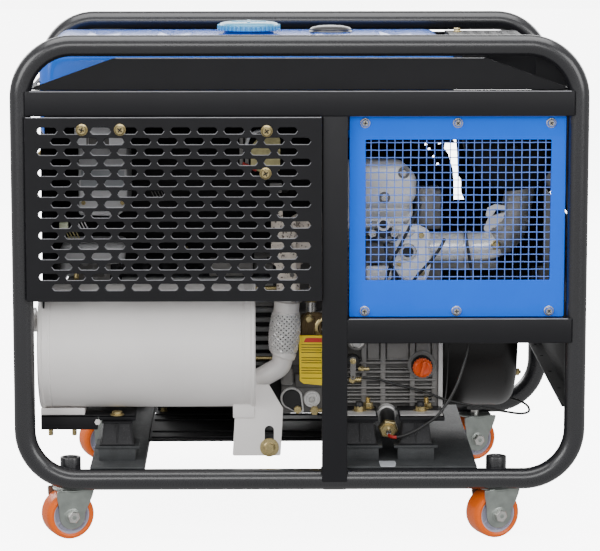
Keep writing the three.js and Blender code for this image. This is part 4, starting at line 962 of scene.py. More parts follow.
def perforated_guard():
    b = BOX["perforated_guard"]
    sheet = 2
    piece = Piece("perforated_guard_sheet", black_sheet, gold_zinc, black, painted_highlight_edge)
    slots = []
    for row in range(SLOT_ROWS):
        shift = (row % 2) * SLOT_PITCH_X / 2
        for column in range(SLOT_COLUMNS):
            x, z = SLOT_FIRST_X + shift + column * SLOT_PITCH_X, SLOT_FIRST_Z - row * SLOT_PITCH_Z
            slots.append(slot_outline(x, z))
            # pale line along the lower lip of each slot: painted highlight
            a, h = SLOT_LENGTH / 2 + 0.3, SLOT_HEIGHT / 2 + 0.35
            lip = filleted([(x - a, b.y0 + 0.3, z - 0.5), (x - a + 3.6, b.y0 + 0.3, z - h),
                            (x + a - 3.6, b.y0 + 0.3, z - h), (x + a, b.y0 + 0.3, z - 0.5)], 3.4, 3)
            piece.add(pipe(lip, 0.55, 6), 3)
    piece.add(plate(rectangle(b.x0, b.x1, b.z0, b.z1, 1.5, 2), slots, -b.y0 - sheet, -b.y0, 0.75))
    # pale strip along the guard's top edge: painted highlight
    piece.add(block(b.x0 + 2, b.x1 - 1, b.y0 + 0.2, b.y0 + 2.2, b.z1 - 0.7, b.z1 + 0.7, 0.3, 1), 3)
    for x0, x1, z0, z1 in ((b.x0, b.x0 + sheet, b.z0, b.z1), (b.x1 - sheet, b.x1, b.z0, b.z1),
                           (b.x0, b.x1, b.z0, b.z0 + sheet), (b.x0, b.x1, b.z1 - sheet, b.z1)):
        piece.add(block(x0, x1, b.y0 + 0.3, b.y1, z0, z1, 0.7, 2))
    for x, z in ((-346, 673.8), (-285.7, 673.8), (-53, 671.5), (-55, 604)):
        cross_screw(piece, (x, b.y0, z), NEAR, 8.6, 4.6, 1, 2, washer=9.4)
    piece.done(replaces="perforated_guard")


perforated_guard()

WINDOW = (105, 401.6, 428, 655)


def mesh_guard():
    b = BOX["mesh_guard_frame"]
    thick = b.y1 - b.y0
    piece = Piece("mesh_guard_panel", blue, gold_zinc, plastic, zinc_bright, label_plain)
    x0, x1, z0, z1 = WINDOW
    piece.add(plate(rectangle(b.x0, b.x1 - 2, b.z0, b.z1, 2.5, 3), [rectangle(x0, x1, z0, z1, 1.5, 2)],
                    -b.y0 - thick, -b.y0, 0.6))
    # pale strip along the blue panel's top edge, in the label finish: painted highlight
    piece.add(block(b.x0 + 1, b.x1 - 3, b.y0 - 0.2, b.y0 + 1.4, b.z1 - 0.9, b.z1 + 0.2, 0.3, 1), 4)
    for x in (b.x0 + 25, b.cx - 1, b.x1 - 26):
        for z in (b.z0 + 9.4, b.z1 - 11.4):
            piece.turn(solid((8.2, 0), (8.2, 0.9), (7.4, 1.5)), (x, b.y0, z), NEAR, 28, 3)
            cross_screw(piece, (x, b.y0 - 1.3, z), NEAR, 6.6, 5.0, 3, 2)
    piece.done(replaces="mesh_guard_frame")


mesh_guard()


def wire_mesh():
    b = BOX["guard_wire_mesh"]
    pitch, pitch_z, wire = 12.7, 12.05, 0.78
    piece = Piece("wire_mesh", mesh_wire)
    y = b.cy
    columns = int((b.x1 - b.x0) // pitch)
    rows = int((b.z1 - b.z0) // pitch_z)
    first_x = b.cx - columns * pitch / 2
    first_z = b.cz - rows * pitch_z / 2
    for i in range(columns + 1):
        x = first_x + i * pitch
        points = [(x + random.uniform(-0.2, 0.2), y + 0.55 * (-1) ** (i + k), z) for k,
                  z in enumerate([first_z + j * pitch_z for j in range(rows + 1)])]
        piece.add(pipe(smooth_route(points, rows * 4 + 1), wire, 8))
    for j in range(rows + 1):
        z = first_z + j * pitch_z
        points = [(x, y - 0.55 * (-1) ** (j + k), z + random.uniform(-0.2, 0.2)) for k,
                  x in enumerate([first_x + i * pitch for i in range(columns + 1)])]
        piece.add(pipe(smooth_route(points, columns * 4 + 1), wire, 8))
    piece.done(replaces="guard_wire_mesh")


wire_mesh()


def right_end_panel():
    b = BOX["right_end_panel"]
    sheet = 3
    piece = Piece("right_end_sheet", black_sheet, gold_zinc)
    corners = [(y, 270 + row * 26) for row in range(10) for y in (-185, 15)]
    vents = [rectangle(y, y + 170, z, z + 9, 4.4, 4) for y, z in corners]
    piece.add(plate(rectangle(b.y0, b.y1, b.z0, b.z1, 3), vents, b.x1 - sheet, b.x1, 0.6, FLAT_YZ))
    holes = [circle(b.x0 + 11, y, 3.2, 16) for y in (-260, -150, 0, 150, 260)]
    piece.add(plate(rectangle(b.x0, b.x1 - 0.5, b.y0, b.y1, 2), holes, b.z0, b.z0 + sheet, 0.6, FLAT_XY))
    for y, z in corners:
        hood = [(b.x1 - 1, z + 10), (b.x1 + 4.5, z + 3), (b.x1 + 4.5, z + 1.6), (b.x1 - 1, z + 8)]
        piece.add(plate(hood, [], -y - 168, -y - 2, 0.2))
    piece.add(block(b.x1 - 12, b.x1 - 10, b.y0 + 2, b.y1 - 2, 262, 518, 0.5, 1))
    for y in (b.y0 + 18, b.y1 - 18):
        for z in (250, 480, 700):
            hex_head(piece, (b.x1, y, z), RIGHT, 13, 5.5, 1, flange=9)
    piece.done(replaces="right_end_panel")


right_end_panel()

# ---------------------------------------------------------------- exhaust

PIPE_Y = -214
FLEX_FOOT = Vector((-27, PIPE_Y, 289))
FLEX_TOP = Vector((-20, PIPE_Y, 378))
PORT_Z = 508
INLET_LOW, INLET_BEND = Vector((-86, PIPE_Y, 237)), Vector((-28.5, PIPE_Y, 270))
MUFFLER_Y, MUFFLER_Z = -212, 306


def muffler():
    b = BOX["muffler"]
    left, right = b.x0, -72
    radius, lip = 102, 105
    at = (left, MUFFLER_Y, MUFFLER_Z)
    length = right - left
    half = [(0, 9), (60, 9), (72, 6.5), (radius - 9, 6.5), (radius - 7, 5), (radius - 6, 1.2),
            (radius - 3.4, 0), (lip - 2, 0), (lip, 2), (lip, 5.5), (lip - 1.4, 7), (radius + 0.2, 8),
            (radius, 10), (radius, 17), (radius - 0.9, 18.4), (radius - 0.9, 19.6), (radius, 21)]
    profile = half + [(radius + 0.35, length * 0.3), (radius + 0.35, length * 0.7)]
    profile += [(r, length - d) for r, d in reversed(half)]
    piece = Piece("muffler_shell", silver, steel_pipe)
    piece.turn(profile, at, RIGHT, 96)
    # rolled longitudinal seam, high on the back
    seam = Vector((0, cos(radians(48)), sin(radians(48))))
    for offset in (0.0, 3.2):
        place = Vector((left + 14, MUFFLER_Y, MUFFLER_Z)) + seam * (radius + 0.6)
        place += Vector((0, offset, -offset))
        piece.add(pipe([place, place + RIGHT * (length - 28)], 1.5, 8))
    elbow = filleted([INLET_LOW, INLET_BEND, FLEX_FOOT + (FLEX_TOP - FLEX_FOOT) * 0.02], 34, 12)
    piece.add(pipe(elbow, 17, 32), 0)
    aim = (INLET_BEND - INLET_LOW).normalized()
    piece.turn([(17, 0), (20, 0), (19.4, 2.4), (17.6, 4), (17, 4)], Vector((-71, PIPE_Y, 246)) - aim * 2,
               aim, 32)
    piece.add(turned([(14, 0), (14, 12), (16, 13), (20, 13), (20, 24), (17, 25), (14, 25)],
                     (left + 7, -236, 352), LEFT, 28), 1)
    # tab under the right end, and the strip that the strap is welded to
    piece.blocks(0, (-109, -74, -255.6, -252.4, 191, 218, 1.2, 2),
                 (-109, -74, -253.4, -222, 201, 204, 1.0, 2))
    piece.done(replaces="muffler")


muffler()


def flex_pipe():
    piece = Piece("exhaust_flex", braid, silver, painted_shade_black)
    axis = (FLEX_TOP - FLEX_FOOT).normalized()
    length = (FLEX_TOP - FLEX_FOOT).length
    side = (RIGHT - axis * RIGHT.dot(axis)).normalized()
    other = axis.cross(side)
    tilt = (axis + RIGHT * 0.28).normalized()
    piece.turn([(17, -3), (20.2, -3), (21.2, -1.5), (21.2, 7), (20.2, 8.5), (17, 8.5)], FLEX_FOOT, tilt, 40,
               1)
    piece.turn([(16.6, length - 20), (20.4, length - 20), (21, length - 18.4), (21, length - 1),
                (20, length), (16.6, length)], FLEX_FOOT, axis, 40, 1)
    piece.turn([(20.6, length - 20.5), (22, length - 20), (22, length - 17), (20.6, length - 16.5)],
               FLEX_FOOT, axis, 40, 1)
    low, high = 5.0, length - 17.0

    def radius_at(s):
        t = min(1, max(0, (s - low) / (high - low)))
        return 20.0 + 4.6 * sin(pi * t ** 0.9) ** 0.6

    # near-black core under the braid: painted shade seen between the strands
    piece.add(turned([(radius_at(low + (high - low) * k / 12) - 2.2, low + (high - low) * k / 12)
                      for k in range(13)], FLEX_FOOT, axis, 32), 2)
    strands, steps, turns = 18, 54, 0.5
    for hand in (1, -1):
        for n in range(strands):
            start = TAU * n / strands + (0.0 if hand > 0 else TAU / strands / 2)
            for shift in (-0.045, 0.045):
                points = []
                for k in range(steps + 1):
                    s = low + (high - low) * k / steps
                    angle = start + shift + hand * TAU * turns * k / steps
                    weave = 0.8 * sin(strands * (angle - start - shift) * hand + pi * n
                                           + (0 if hand > 0 else pi))
                    r = radius_at(s) + weave
                    points.append(FLEX_FOOT + axis * s + side * (r * cos(angle)) + other * (r * sin(angle)))
                piece.add(pipe(points, 1.15, 6))
    piece.done(replaces="exhaust_flex_pipe")


flex_pipe()


def manifold():
    piece = Piece("exhaust_manifold_cast", beige, gold_zinc, steel_pipe, manifold_iron)
    top = FLEX_TOP + Vector((0.4, 0, 1))
    axis = (FLEX_TOP - FLEX_FOOT).normalized()
    piece.turn([(16, 0), (24, 0), (26, 1.5), (26, 8), (24, 9.5), (19, 12), (16, 12)], top, axis, 36, 2)
    for angle in (0.5, 0.5 + TAU / 2):
        at = top + Vector((21 * cos(angle), 21 * sin(angle), 8.4))
        hex_head(piece, at, axis, 10, 6, 1, stud=4)
    route = filleted([top + axis * 6, (-14, PIPE_Y, PORT_Z), (52, PIPE_Y + 6, PORT_Z)], 34, 12)
    radii = [19 + 0.9 * sin(i * 0.9) for i in range(len(route))]
    piece.add(pipe(route, radii, 28))
    for share in (0.18, 0.42):
        at = route[0].lerp(route[1], share + 0.2)
        piece.turn([(18, 0), (22.5, 0.5), (23, 3), (23, 7), (22.5, 9.5), (18, 10)], at, route[1] - route[0],
                   32, 3)
    flange = [(-22, -26), (34, -26), (34, 26), (-22, 26)]
    piece.add(plate(filleted([(PIPE_Y + y, PORT_Z + z) for y, z in flange], 9, 5, True), [], 51, 62.5, 1.2,
                    FLAT_YZ), 3)
    for y in (-14, 26):
        for z in (-18, 18):
            hex_head(piece, (51.5, PIPE_Y + y, PORT_Z + z), LEFT, 11, 6, 1, stud=5)
    piece.done(replaces="exhaust_manifold")


manifold()


def muffler_mounts():
    arm = Piece("muffler_arm", black_sheet, gold_zinc, silver, casting_dark)
    left_edge, stand_low = -424, FOOT_LOW
    arm.blocks(0, (left_edge, -269, -250, -184, 191.5, 195.5, 1.0, 2),
               (left_edge, -331, -250, -246, 171, 195.3, 1.0, 2),
               (-329, -269, -250, -238, stand_low, 195.3, 1.0, 2))
    arm.add(plate([(-331, 193), (-331, 173), (-352, 193)], [], 240, 243, 0.6))
    hex_head(arm, (-299, -247, 195.4), UP, 15, 5, 1, flange=12, phase=0.2)
    hex_head(arm, (-331, -250.2, 184), NEAR, 9, 3.4, 2, phase=0.5)
    for x in (-410.5, -371.5):
        arm.turn(solid((4, 0), (4, 36), (3.2, 37)), (x, -216, 191.6), DOWN, 14, 1)
        hex_head(arm, (x, -216, 191.6), DOWN, 13, 6, 0, flange=9)
    arm.done(replaces="muffler_support_arm")
    # silver strip welded under the shell
    strip = Piece("muffler_strip", silver, gold_zinc)
    strip.blocks(0, (-424, -352, -247, -184, 195.8, 200.7, 0.9, 2),
                 (-424, -352, -248.4, -245.6, 195.4, 207, 0.9, 2))
    strip.done()

    piece = Piece("muffler_bracket_sheet", silver, gold_zinc, black_sheet)
    outline = [(-50, 246), (-27, 206), (-29, 163), (-31, 127), (-110, 127), (-106, 192), (-92, 246)]
    slot = filleted([(-57, 134), (-42, 134), (-42, 177), (-57, 177)], 7.4, 5, True)
    piece.add(plate(filleted(outline, 3, 3, True), [slot], 248.5, 252, 0.5))
    piece.blocks(2, (-78, -36, -249, -101, 127, 131, 1.0, 2), (-78, -36, -105, -100.3, 122, 131, 1.0, 2))
    bolt = (-49.3, -252, 141)
    piece.turn([(8, 0), (15.5, 0), (15.5, 1.2), (14.8, 2), (8, 2)], bolt, NEAR, 40, 1)
    hex_head(piece, (bolt[0], bolt[1] - 1, bolt[2]), NEAR, 15, 6, 1, flange=10, phase=0.2)
    piece.done(replaces="muffler_bracket")


muffler_mounts()

# ---------------------------------------------------------------- engine

AXIS_Y, AXIS_Z = 12, 320
CASE_NEAR, CASE_FAR = -170, 194
CYLINDER_X = {-1: 124, 1: 96}
CYLINDER_BASE, BARREL, HEAD = 130.8, 118, 66


def cylinder_matrix(side, x):
    """Stands a cylinder's own frame on its bank, an eighth of a turn from upright."""
    return placed((x, AXIS_Y, AXIS_Z), "X", -side * pi / 4)


def round_axis(x, radius, angle):
    """A point round the crank line."""
    return Vector((x, AXIS_Y + radius * cos(angle), AXIS_Z + radius * sin(angle)))


def crankcase():
    b = BOX["crankcase"]
    x0, x1 = b.x0, b.x1
    piece = Piece("crankcase_casting", casting, casting_dark, gold_zinc, plastic, casting_light,
                  zinc_bright, black_sheet)
    foot, low, high = 178, 48, 136
    recess = 13
    section = [(CASE_NEAR + recess, foot), (CASE_FAR - recess, foot),
               (CASE_FAR - recess, AXIS_Z + low - 14), (AXIS_Y + high, AXIS_Z + low),
               (AXIS_Y + low, AXIS_Z + high), (AXIS_Y - low, AXIS_Z + high), (AXIS_Y - high, AXIS_Z + low),
               (CASE_NEAR + recess, AXIS_Z + low - 14)]
    # the case's core in the darker casting, seen between the ribs of the near face: painted shade in the
    # pockets
    piece.add(plate(filleted(section, 5, 4, True), [], x0 + 2, x1 - 2, 2.0, FLAT_YZ), 1)
    face = CASE_NEAR

    def near_block(xa, xb, za, zb, depth=0.0, edge=1.6, tone=0):
        piece.add(block(xa, xb, face + depth, face + recess + 3, za, zb, edge, 3), tone)

    # border of the near face, and the height that its ribs run over
    ribs = (186, 352)
    near_block(66, x1, 300, 354)
    near_block(66, x1 - 2, 178, 184.6, 0, 1.6, 4)
    near_block(232.5, x1, *ribs, -2, 1.4, 4)
    near_block(222, 232, *ribs, 3, 1.4)
    near_block(x0, 72, 340, 354)
    near_block(x0 + 72 - 6, 74, *ribs, 0)
    # upright ribs
    for x in (108.6, 140.5, 189.5):
        near_block(x - 4.4, x + 4.4, ribs[0], 304, 2.0)
    # shallow panels above, close fins below
    for z in (265.9, 250.7, 237.1, 223.5, 211.6, 199.7):
        near_block(70, 228, z - 2.0, z + 2.0, 1.0, 1.2)
        near_block(70, 228, z + 3.6, z + 6.0, 6.0, 0.8)
    for xa, xb in ((114, 135), (146, 184), (195, 221)):
        near_block(xa, xb, 271, 300, 5.5, 3.0)
    # round bosses
    piece.turn(solid((15, 0), (15, 12), (13.4, 13.6)), (96, face + recess, 302), NEAR, 32)
    piece.turn(solid((8.5, 0), (8.5, 3), (7.4, 4)), (96, face - 0.4, 302), NEAR, 24, 4)
    piece.turn(solid((24, 0), (24, 11), (22.4, 12.8), (17, 12.8), (17, 10)), (205, face + recess, 262),
               NEAR, 40)
    piece.turn(solid((17.5, 0), (18, 6), (18, 12), (16.6, 14)), (205, face + 1, 262), NEAR, 36, 3)
    # foot plate with its lugs over the rubber mounts
    reach = 262
    lug_low, lug_top = FOOT_LOW, 192.7
    for xa, xb in ((66, 129), (164, 238)):
        piece.blocks(6, (xa, xb, -reach, face + 4, lug_low, lug_top, 1.2, 2),
                     (xa, xb, CASE_FAR - 4, reach, lug_low, lug_top, 1.2, 2))
    for xa, xb in ((67, 126), (166, 236)):
        piece.add(block(xa, xb, -248, -212, lug_top - 1, lug_top + 1.2, 0.8, 2), 4)
    for x in (115, 212):
        hex_head(piece, (x, face - 12, lug_top - 0.2), UP, 15, 8, 2, flange=11, stud=9)
    for x in (99.5, 200.5):
        piece.turn(rod(12, 1.6), (x, face - 40, lug_top - 0.2), UP, 24, 2)
        hex_head(piece, (x, face - 40, lug_top + 1), UP, 15, 8, 2)
        piece.turn([(0, 7), (7.2, 7), (7.2, 12), (5.4, 15), (0, 15.6)], (x, face - 40, lug_top + 1), UP, 20,
                   3)
    # the same casting on the far face
    for x in (10, 60, 110, 160, 210):
        piece.add(block(x - 3.5, x + 3.5, CASE_FAR - recess - 2, CASE_FAR - 2, 184, 345, 1.6, 3))
    for z in (190, 230, 270, 310, 345):
        piece.add(block(x0 + 4, x1 - 4, CASE_FAR - recess - 2, CASE_FAR - 3, z - 3, z + 3, 1.6, 3))
    # pads that the cylinders stand on, and the lid over the crank line
    for side, x in CYLINDER_X.items():
        piece.add(block(x - 62, x + 62, -58, 58, 122, 130.2, 2, 3), 0, cylinder_matrix(side, 0))
    piece.add(block(x0 + 20, x1 - 20, AXIS_Y - 34, AXIS_Y + 34, AXIS_Z + 134, AXIS_Z + 142, 3, 3), 4)
    for x in (x0 + 32, 105, x1 - 32):
        for y in (AXIS_Y - 26, AXIS_Y + 26):
            hex_head(piece, (x, y, AXIS_Z + 142), UP, 10, 5, 2)
    for x, axis in ((x0 + 2, LEFT), (x1 - 2, RIGHT)):
        piece.turn(hoop(22, 92, 2), (x, AXIS_Y, AXIS_Z), axis, 48)
    piece.done(replaces="crankcase")


crankcase()


def engine_left_details():
    """Covers, plugs and fittings on the near face beside the injection pump."""
    piece = Piece("timing_side_covers", casting, casting_light, plastic, gold_zinc, casting_dark,
                  zinc_bright)
    y = CASE_NEAR
    piece.blocks(4, (-29, 66, y - 3, y + 14, 184, 236, 2.5, 3), (-30, 2, y + 1, y + 14, 236, 300, 2.5, 3))
    piece.add(block(-78, -28, -106, -100, 180, 250, 2, 2), 2)
    # round-cornered grey blocks
    piece.add(block(-30, -9, y - 16, y, 231, 262, 5, 4), 0)
    piece.add(block(-7, 40, y - 10, y, 226, 250, 4, 4), 4)
    piece.add(block(-30, 2, y - 6, y, 264, 300, 4, 4), 0)

    def tear(radius, tip):
        """A round that runs out to a blunt tip below."""
        points = [(-12 + radius * cos(a), 208 + radius * sin(a))
                  for a in [radians(20 + 230 * k / 22) for k in range(23)]]
        blunt = filleted([points[-1], (-4 + tip, 185 - tip), (6 + tip, 186 - tip), points[0]], 5, 4)
        return points + blunt[1:-1]

    # tear-shaped black cover in a grey rim
    piece.add(plate(tear(18.5, 3), [], -y, -y + 9, 1.4), 1)
    piece.add(plate(tear(15.5, 0), [], -y + 7, -y + 13, 1.4), 2)
    hex_head(piece, (-2, y - 12.5, 190.5), NEAR, 12, 5, 3, phase=0.1)
    # grey round plug with rings
    piece.turn(solid((14, 0), (14, 10), (12.6, 11.4), (10.5, 11.4), (9.6, 10.2), (8.4, 11.4), (5.6, 11.4),
                     (5, 9.5)), (21.5, y, 207), NEAR, 40, 1)
    hex_head(piece, (21.5, y - 9, 207), NEAR, 8, 3.5, 5)
    # brass drain fitting
    piece.turn(rod(5, 16), (26, y - 2, 189), NEAR, 18, 3)
    hex_head(piece, (26, y - 14, 189), NEAR, 14, 5, 3)
    piece.turn(solid((4, 0), (4, 12), (3, 13)), (34, y - 16, 189), RIGHT, 16, 3)
    piece.done()


engine_left_details()


def cylinder(name, side):
    node = f"{name}_cylinder"
    place = cylinder_matrix(side, CYLINDER_X[side])
    piece = Piece(f"{node}_finned", casting, casting_light, gold_zinc, steel_pipe, zinc_bright, plastic)
    start, barrel, head = CYLINDER_BASE, BARREL, HEAD
    piece.turn(solid((47, start), (47, start + barrel)), (0, 0, 0), UP, 44, 0, place)
    for k in range(11):
        z = start + 7 + k * 10.2
        fin = rectangle(-60, 60, -57, 57, 22, 6)
        piece.add(plate(fin, [], z, z + 2.8, 0.7, FLAT_XY), 0, place)
    top = start + barrel
    piece.add(rounded_body(-54, 54, -47, 47, top, top + head, 12, 3, 3), 0, place)
    for k in range(5):
        z = top + 8 + k * 11
        piece.add(plate(rectangle(-58, 58, -50, 50, 14, 5), [], z, z + 3, 0.8, FLAT_XY), 0, place)
    piece.add(plate(rectangle(-58, 58, -51, 51, 14, 5), [], top + head - 7, top + head, 1.2, FLAT_XY), 1,
              place)
    for px in (-49, 49):
        for py in (-42, 42):
            piece.turn(rod(5, 70), (px, py, top - 2), UP, 16, 0, place)
    # pushrod tubes on the outer end
    for px in (-16, 16):
        piece.turn(solid((10, start - 6), (10, start + 4), (7.4, start + 8), (7.4, top - 6), (9.4, top - 3),
                         (9.4, top + 6)), (px, side * 64, 0), UP, 24, 3, place)
    # injector body
    injector = Vector((-38, -side * 30, top + 44))
    piece.turn(solid((9, 0), (9, 14), (7, 18), (7, 30)), injector, (0, -side * 0.5, 0.86), 20, 4, place)
    piece.done(replaces=node)


for side_name, side_sign in SIDES.items():
    cylinder(side_name, side_sign)


def rocker_cover(name, side):
    node = f"{name}_rocker_cover"
    place = cylinder_matrix(side, CYLINDER_X[side])
    base = CYLINDER_BASE + BARREL + HEAD + 0.6
    piece = Piece(f"{node}_cast", casting_light, zinc_bright, plastic, gold_zinc)
    rings = []
    for inset_by, z, corner in ((-1, 0, 20), (-1, 4, 20), (3, 5.4, 19), (3.4, 18, 19), (5.5, 26, 18),
                                (10, 31.4, 16), (18, 34, 14), (30, 34.6, 10)):
        shape = rectangle(-60 + inset_by, 60 - inset_by, -43 + inset_by, 43 - inset_by, corner, 8)
        rings.append(level(shape, base + z))
    piece.add(joined_rings(rings), 0, place)
    bolts = ((13, -24), (44, 22)) if side < 0 else ((-36, 0), (36, 0))
    for px, py in bolts:
        at = place @ Vector((px, py, base + (34 if abs(py) < 1 else 32)))
        axis = place.to_3x3() @ UP
        piece.turn(solid((9.5, -3), (9, 1.4)), at, axis, 28)
        hex_head(piece, at + axis * 1.2, axis, 12, 6, 1, flange=8)
    spot = place @ Vector((0, 0, base + 33))
    axis = place.to_3x3() @ UP
    piece.turn(solid((12, 0), (12, 3), (10, 4.4)), spot, axis, 28)
    piece.done(replaces=node)


for side_name, side_sign in SIDES.items():
    rocker_cover(side_name, side_sign)


def blower():
    b = BOX["blower_housing"]
    radius, mouth = 160, 96
    length = b.x1 - b.x0
    at = (b.x0, AXIS_Y, AXIS_Z)
    rounded = 27
    outer = [(radius, 0.0), (radius, 6), (radius - 1.4, 8)] + [(radius - 1.4, length - rounded - 4)]
    for k in range(9):
        a = pi / 2 * k / 8
        outer.append((radius - rounded - 1.4 + rounded * cos(a), length - rounded + rounded * sin(a)))
    inner = [(mouth + 4, length), (mouth, length - 1.6), (mouth, length - 6), (mouth + 3, length - 6)]
    inner += [(radius - rounded - 2, length - 3.4), (radius - 9, length - 11),
              (radius - 4.4, length - rounded - 2), (radius - 4.4, 2), (radius - 3, 0)]
    piece = Piece("blower_drum", drum_black, gold_zinc, black_sheet)
    piece.turn(outer + inner, at, RIGHT, 96)
    for a in (0.5, 1.3, 2.1):
        spot = round_axis(b.x0 + 12, radius - 2, a)
        hex_head(piece, spot, spot - round_axis(b.x0 + 12, 0, a), 10, 4.5, 1, flange=7)
    # guard rings and spokes over the mouth
    for r in (30, 52, 74, 94):
        piece.add(pipe([round_axis(b.x1 - 3, r, a) for a in spread(64)], 1.6, 8, True), 2)
    for a in spread(6):
        piece.add(pipe([round_axis(b.x1 - 4.4, r, a) for r in (28, 100)], 1.6, 8), 2)
    for a in (-0.6, -2.28):
        hex_head(piece, round_axis(b.x1 + 0.4, 118, a), RIGHT, 11, 6, 1, flange=8, stud=3)
    piece.done(replaces="blower_housing")


blower()


def fan():
    b = BOX["flywheel_fan"]
    piece = Piece("flywheel_fan_cast", casting, zinc_bright)
    at = (b.x0, AXIS_Y, AXIS_Z)
    piece.turn([(19, 0), (137, 0), (138, 1.5), (138, 13), (134, 16), (70, 17), (60, 20), (58, 48), (50, 50),
                (19, 50)], at, RIGHT, 72)
    # swept blades, thicker at the root disc than at the mouth
    for lean in spread(20):
        rows = []
        for r in (52, 80, 108, 136):
            a = lean + 0.12 * (r - 52) / 84
            across = Vector((0, -sin(a), cos(a)))
            root, tip = round_axis(b.x0 + 14, r, a), round_axis(b.x1 - 2, r, a)
            rows.append([root + across * 1.8, tip + across * 1.1, tip - across * 1.1, root - across * 1.8])
        piece.add(joined_rings(rows))
    hex_head(piece, (b.x0 + 49, AXIS_Y, AXIS_Z), RIGHT, 36, 14, 1, flange=26, phase=0)
    piece.done("crank_train", replaces="flywheel_fan")


fan()


def alternator():
    piece = Piece("alternator_stator", casting, black_sheet, gold_zinc, plastic, rib_grey)
    bell, right, radius = -318, -34, 117
    piece.turn([(102, 0), (radius - 6, 0), (radius - 5, 2), (radius - 5, 16), (radius - 7, 18),
                (radius - 7, right - bell - 20), (radius - 5, right - bell - 18),
                (radius - 5, right - bell - 1), (radius - 6, right - bell), (22, right - bell),
                (22, right - bell - 12), (102, right - bell - 30)], (bell, AXIS_Y, AXIS_Z), RIGHT, 72, 1)
    for i in range(10):
        z = AXIS_Z - 72 + i * 16
        reach = sqrt(radius * radius - (z - AXIS_Z) ** 2)
        for sign in (-1, 1):
            y0, y1 = sorted((AXIS_Y + sign * (reach - 14), AXIS_Y + sign * reach))
            piece.add(block(bell + 20, right - 6, y0, y1, z - 4, z + 4, 1.6, 3), 4)
    for sign in (-1, 1):
        for z in (AXIS_Z - 60, AXIS_Z + 60):
            reach = sqrt(radius * radius - 60 * 60)
            piece.add(pipe([(bell - 8, AXIS_Y + sign * (reach + 2), z),
                            (right + 2, AXIS_Y + sign * (reach + 2), z)], 4, 12), 2)
    # cooling slots at the drive end, on the upper half
    for k in range(9):
        place = placed((0, AXIS_Y, AXIS_Z), "X", radians(20 + k * 17.5))
        piece.add(block(right - 40, right - 8, radius - 8.5, radius - 4, -9, 9, 2, 2), 0, place)
    piece.blocks(3, (-160, -60, -70, 94, 190, 230, 3, 3), (-160, -60, -96, 118, 176, 192, 2, 3))
    for x in (-146, -74):
        for y in (-84, 106):
            hex_head(piece, (x, y, 192), UP, 15, 8, 2, flange=11)
    piece.done(replaces="alternator_housing")

    b = BOX["alternator_end_bell"]
    bell_piece = Piece("alternator_end_cover", casting, casting_dark, gold_zinc, black_sheet)
    left = b.x0
    bell_piece.turn(solid((40, 2), (42, 0), (52, 0), (55, 2), (66, 14), (88, 21), (103, 26), (113, 33),
                          (117, 42), (117, 84), (116, 86), (105, 86), (103, 46), (60, 30)),
                    (left, AXIS_Y, AXIS_Z), RIGHT, 72)
    # louvre windows between radial ribs, the openings filled with the darker casting: painted shade
    for a in spread(16):
        place = placed((0, AXIS_Y, AXIS_Z), "X", a)
        bell_piece.add(block(left + 13, left + 24, 62, 104, -2.4, 2.4, 1.2, 2), 0, place)
        window = [(left + 19.5, 70), (left + 22.2, 84), (left + 26, 98)]
        bell_piece.add(pipe([(x - 3.4, r * cos(0.19), r * sin(0.19)) for x, r in window], [4, 5.5, 4], 8),
                       1, place)
        bell_piece.add(block(left + 52, left + 76, 116, 118.4, -6.5, 6.5, 1.4, 2), 1, place)
    for a in spread(4):
        hex_head(bell_piece, round_axis(left + 33, 110, a + TAU / 8), LEFT, 12, 7, 2, flange=9)
    for a in spread(4):
        hex_head(bell_piece, round_axis(left + 1, 47, a), LEFT, 8, 4, 2)
    # foot beam on the left rubber mounts
    bell_piece.add(block(-328, -270, -237.5, 261, FOOT_LOW, 191, 1.0, 2), 3)
    for x in (-328, -274):
        bell_piece.add(block(x, x + 4, -180, 255, 190, 205, 1.0, 2), 3)
    bell_piece.blocks(0, (-372, -340, AXIS_Y - 60, AXIS_Y + 60, 188, 230, 3, 3),
                      (-372, -299, AXIS_Y - 60, AXIS_Y + 60, FOOT_LOW, 196, 2, 3))
    hex_head(bell_piece, (-299, 226, 191), UP, 15, 8, 2, flange=11, stud=8)
    bell_piece.done(replaces="alternator_end_bell")


alternator()


def rotor():
    b = BOX["alternator_rotor"]
    piece = Piece("alternator_rotor_wound", casting_dark, copper, steel_pipe)
    piece.turn(solid((83.5, 0), (84, 1), (84, 209), (83.5, 210)), (-300, AXIS_Y, AXIS_Z), RIGHT, 48)
    for x in (-300, -102):
        for a in spread(12):
            piece.turn([(0, -8), (9, -6), (11, 0), (9, 6), (0, 8)], round_axis(x + 6, 60, a), RIGHT, 12, 1)
    piece.turn([(0, 0), (14, 0), (16, 2), (16, b.x1 - b.x0 - 2), (0, b.x1 - b.x0)], (b.x0, AXIS_Y, AXIS_Z),
               RIGHT, 32, 2)
    piece.done("crank_train", replaces="alternator_rotor")


rotor()


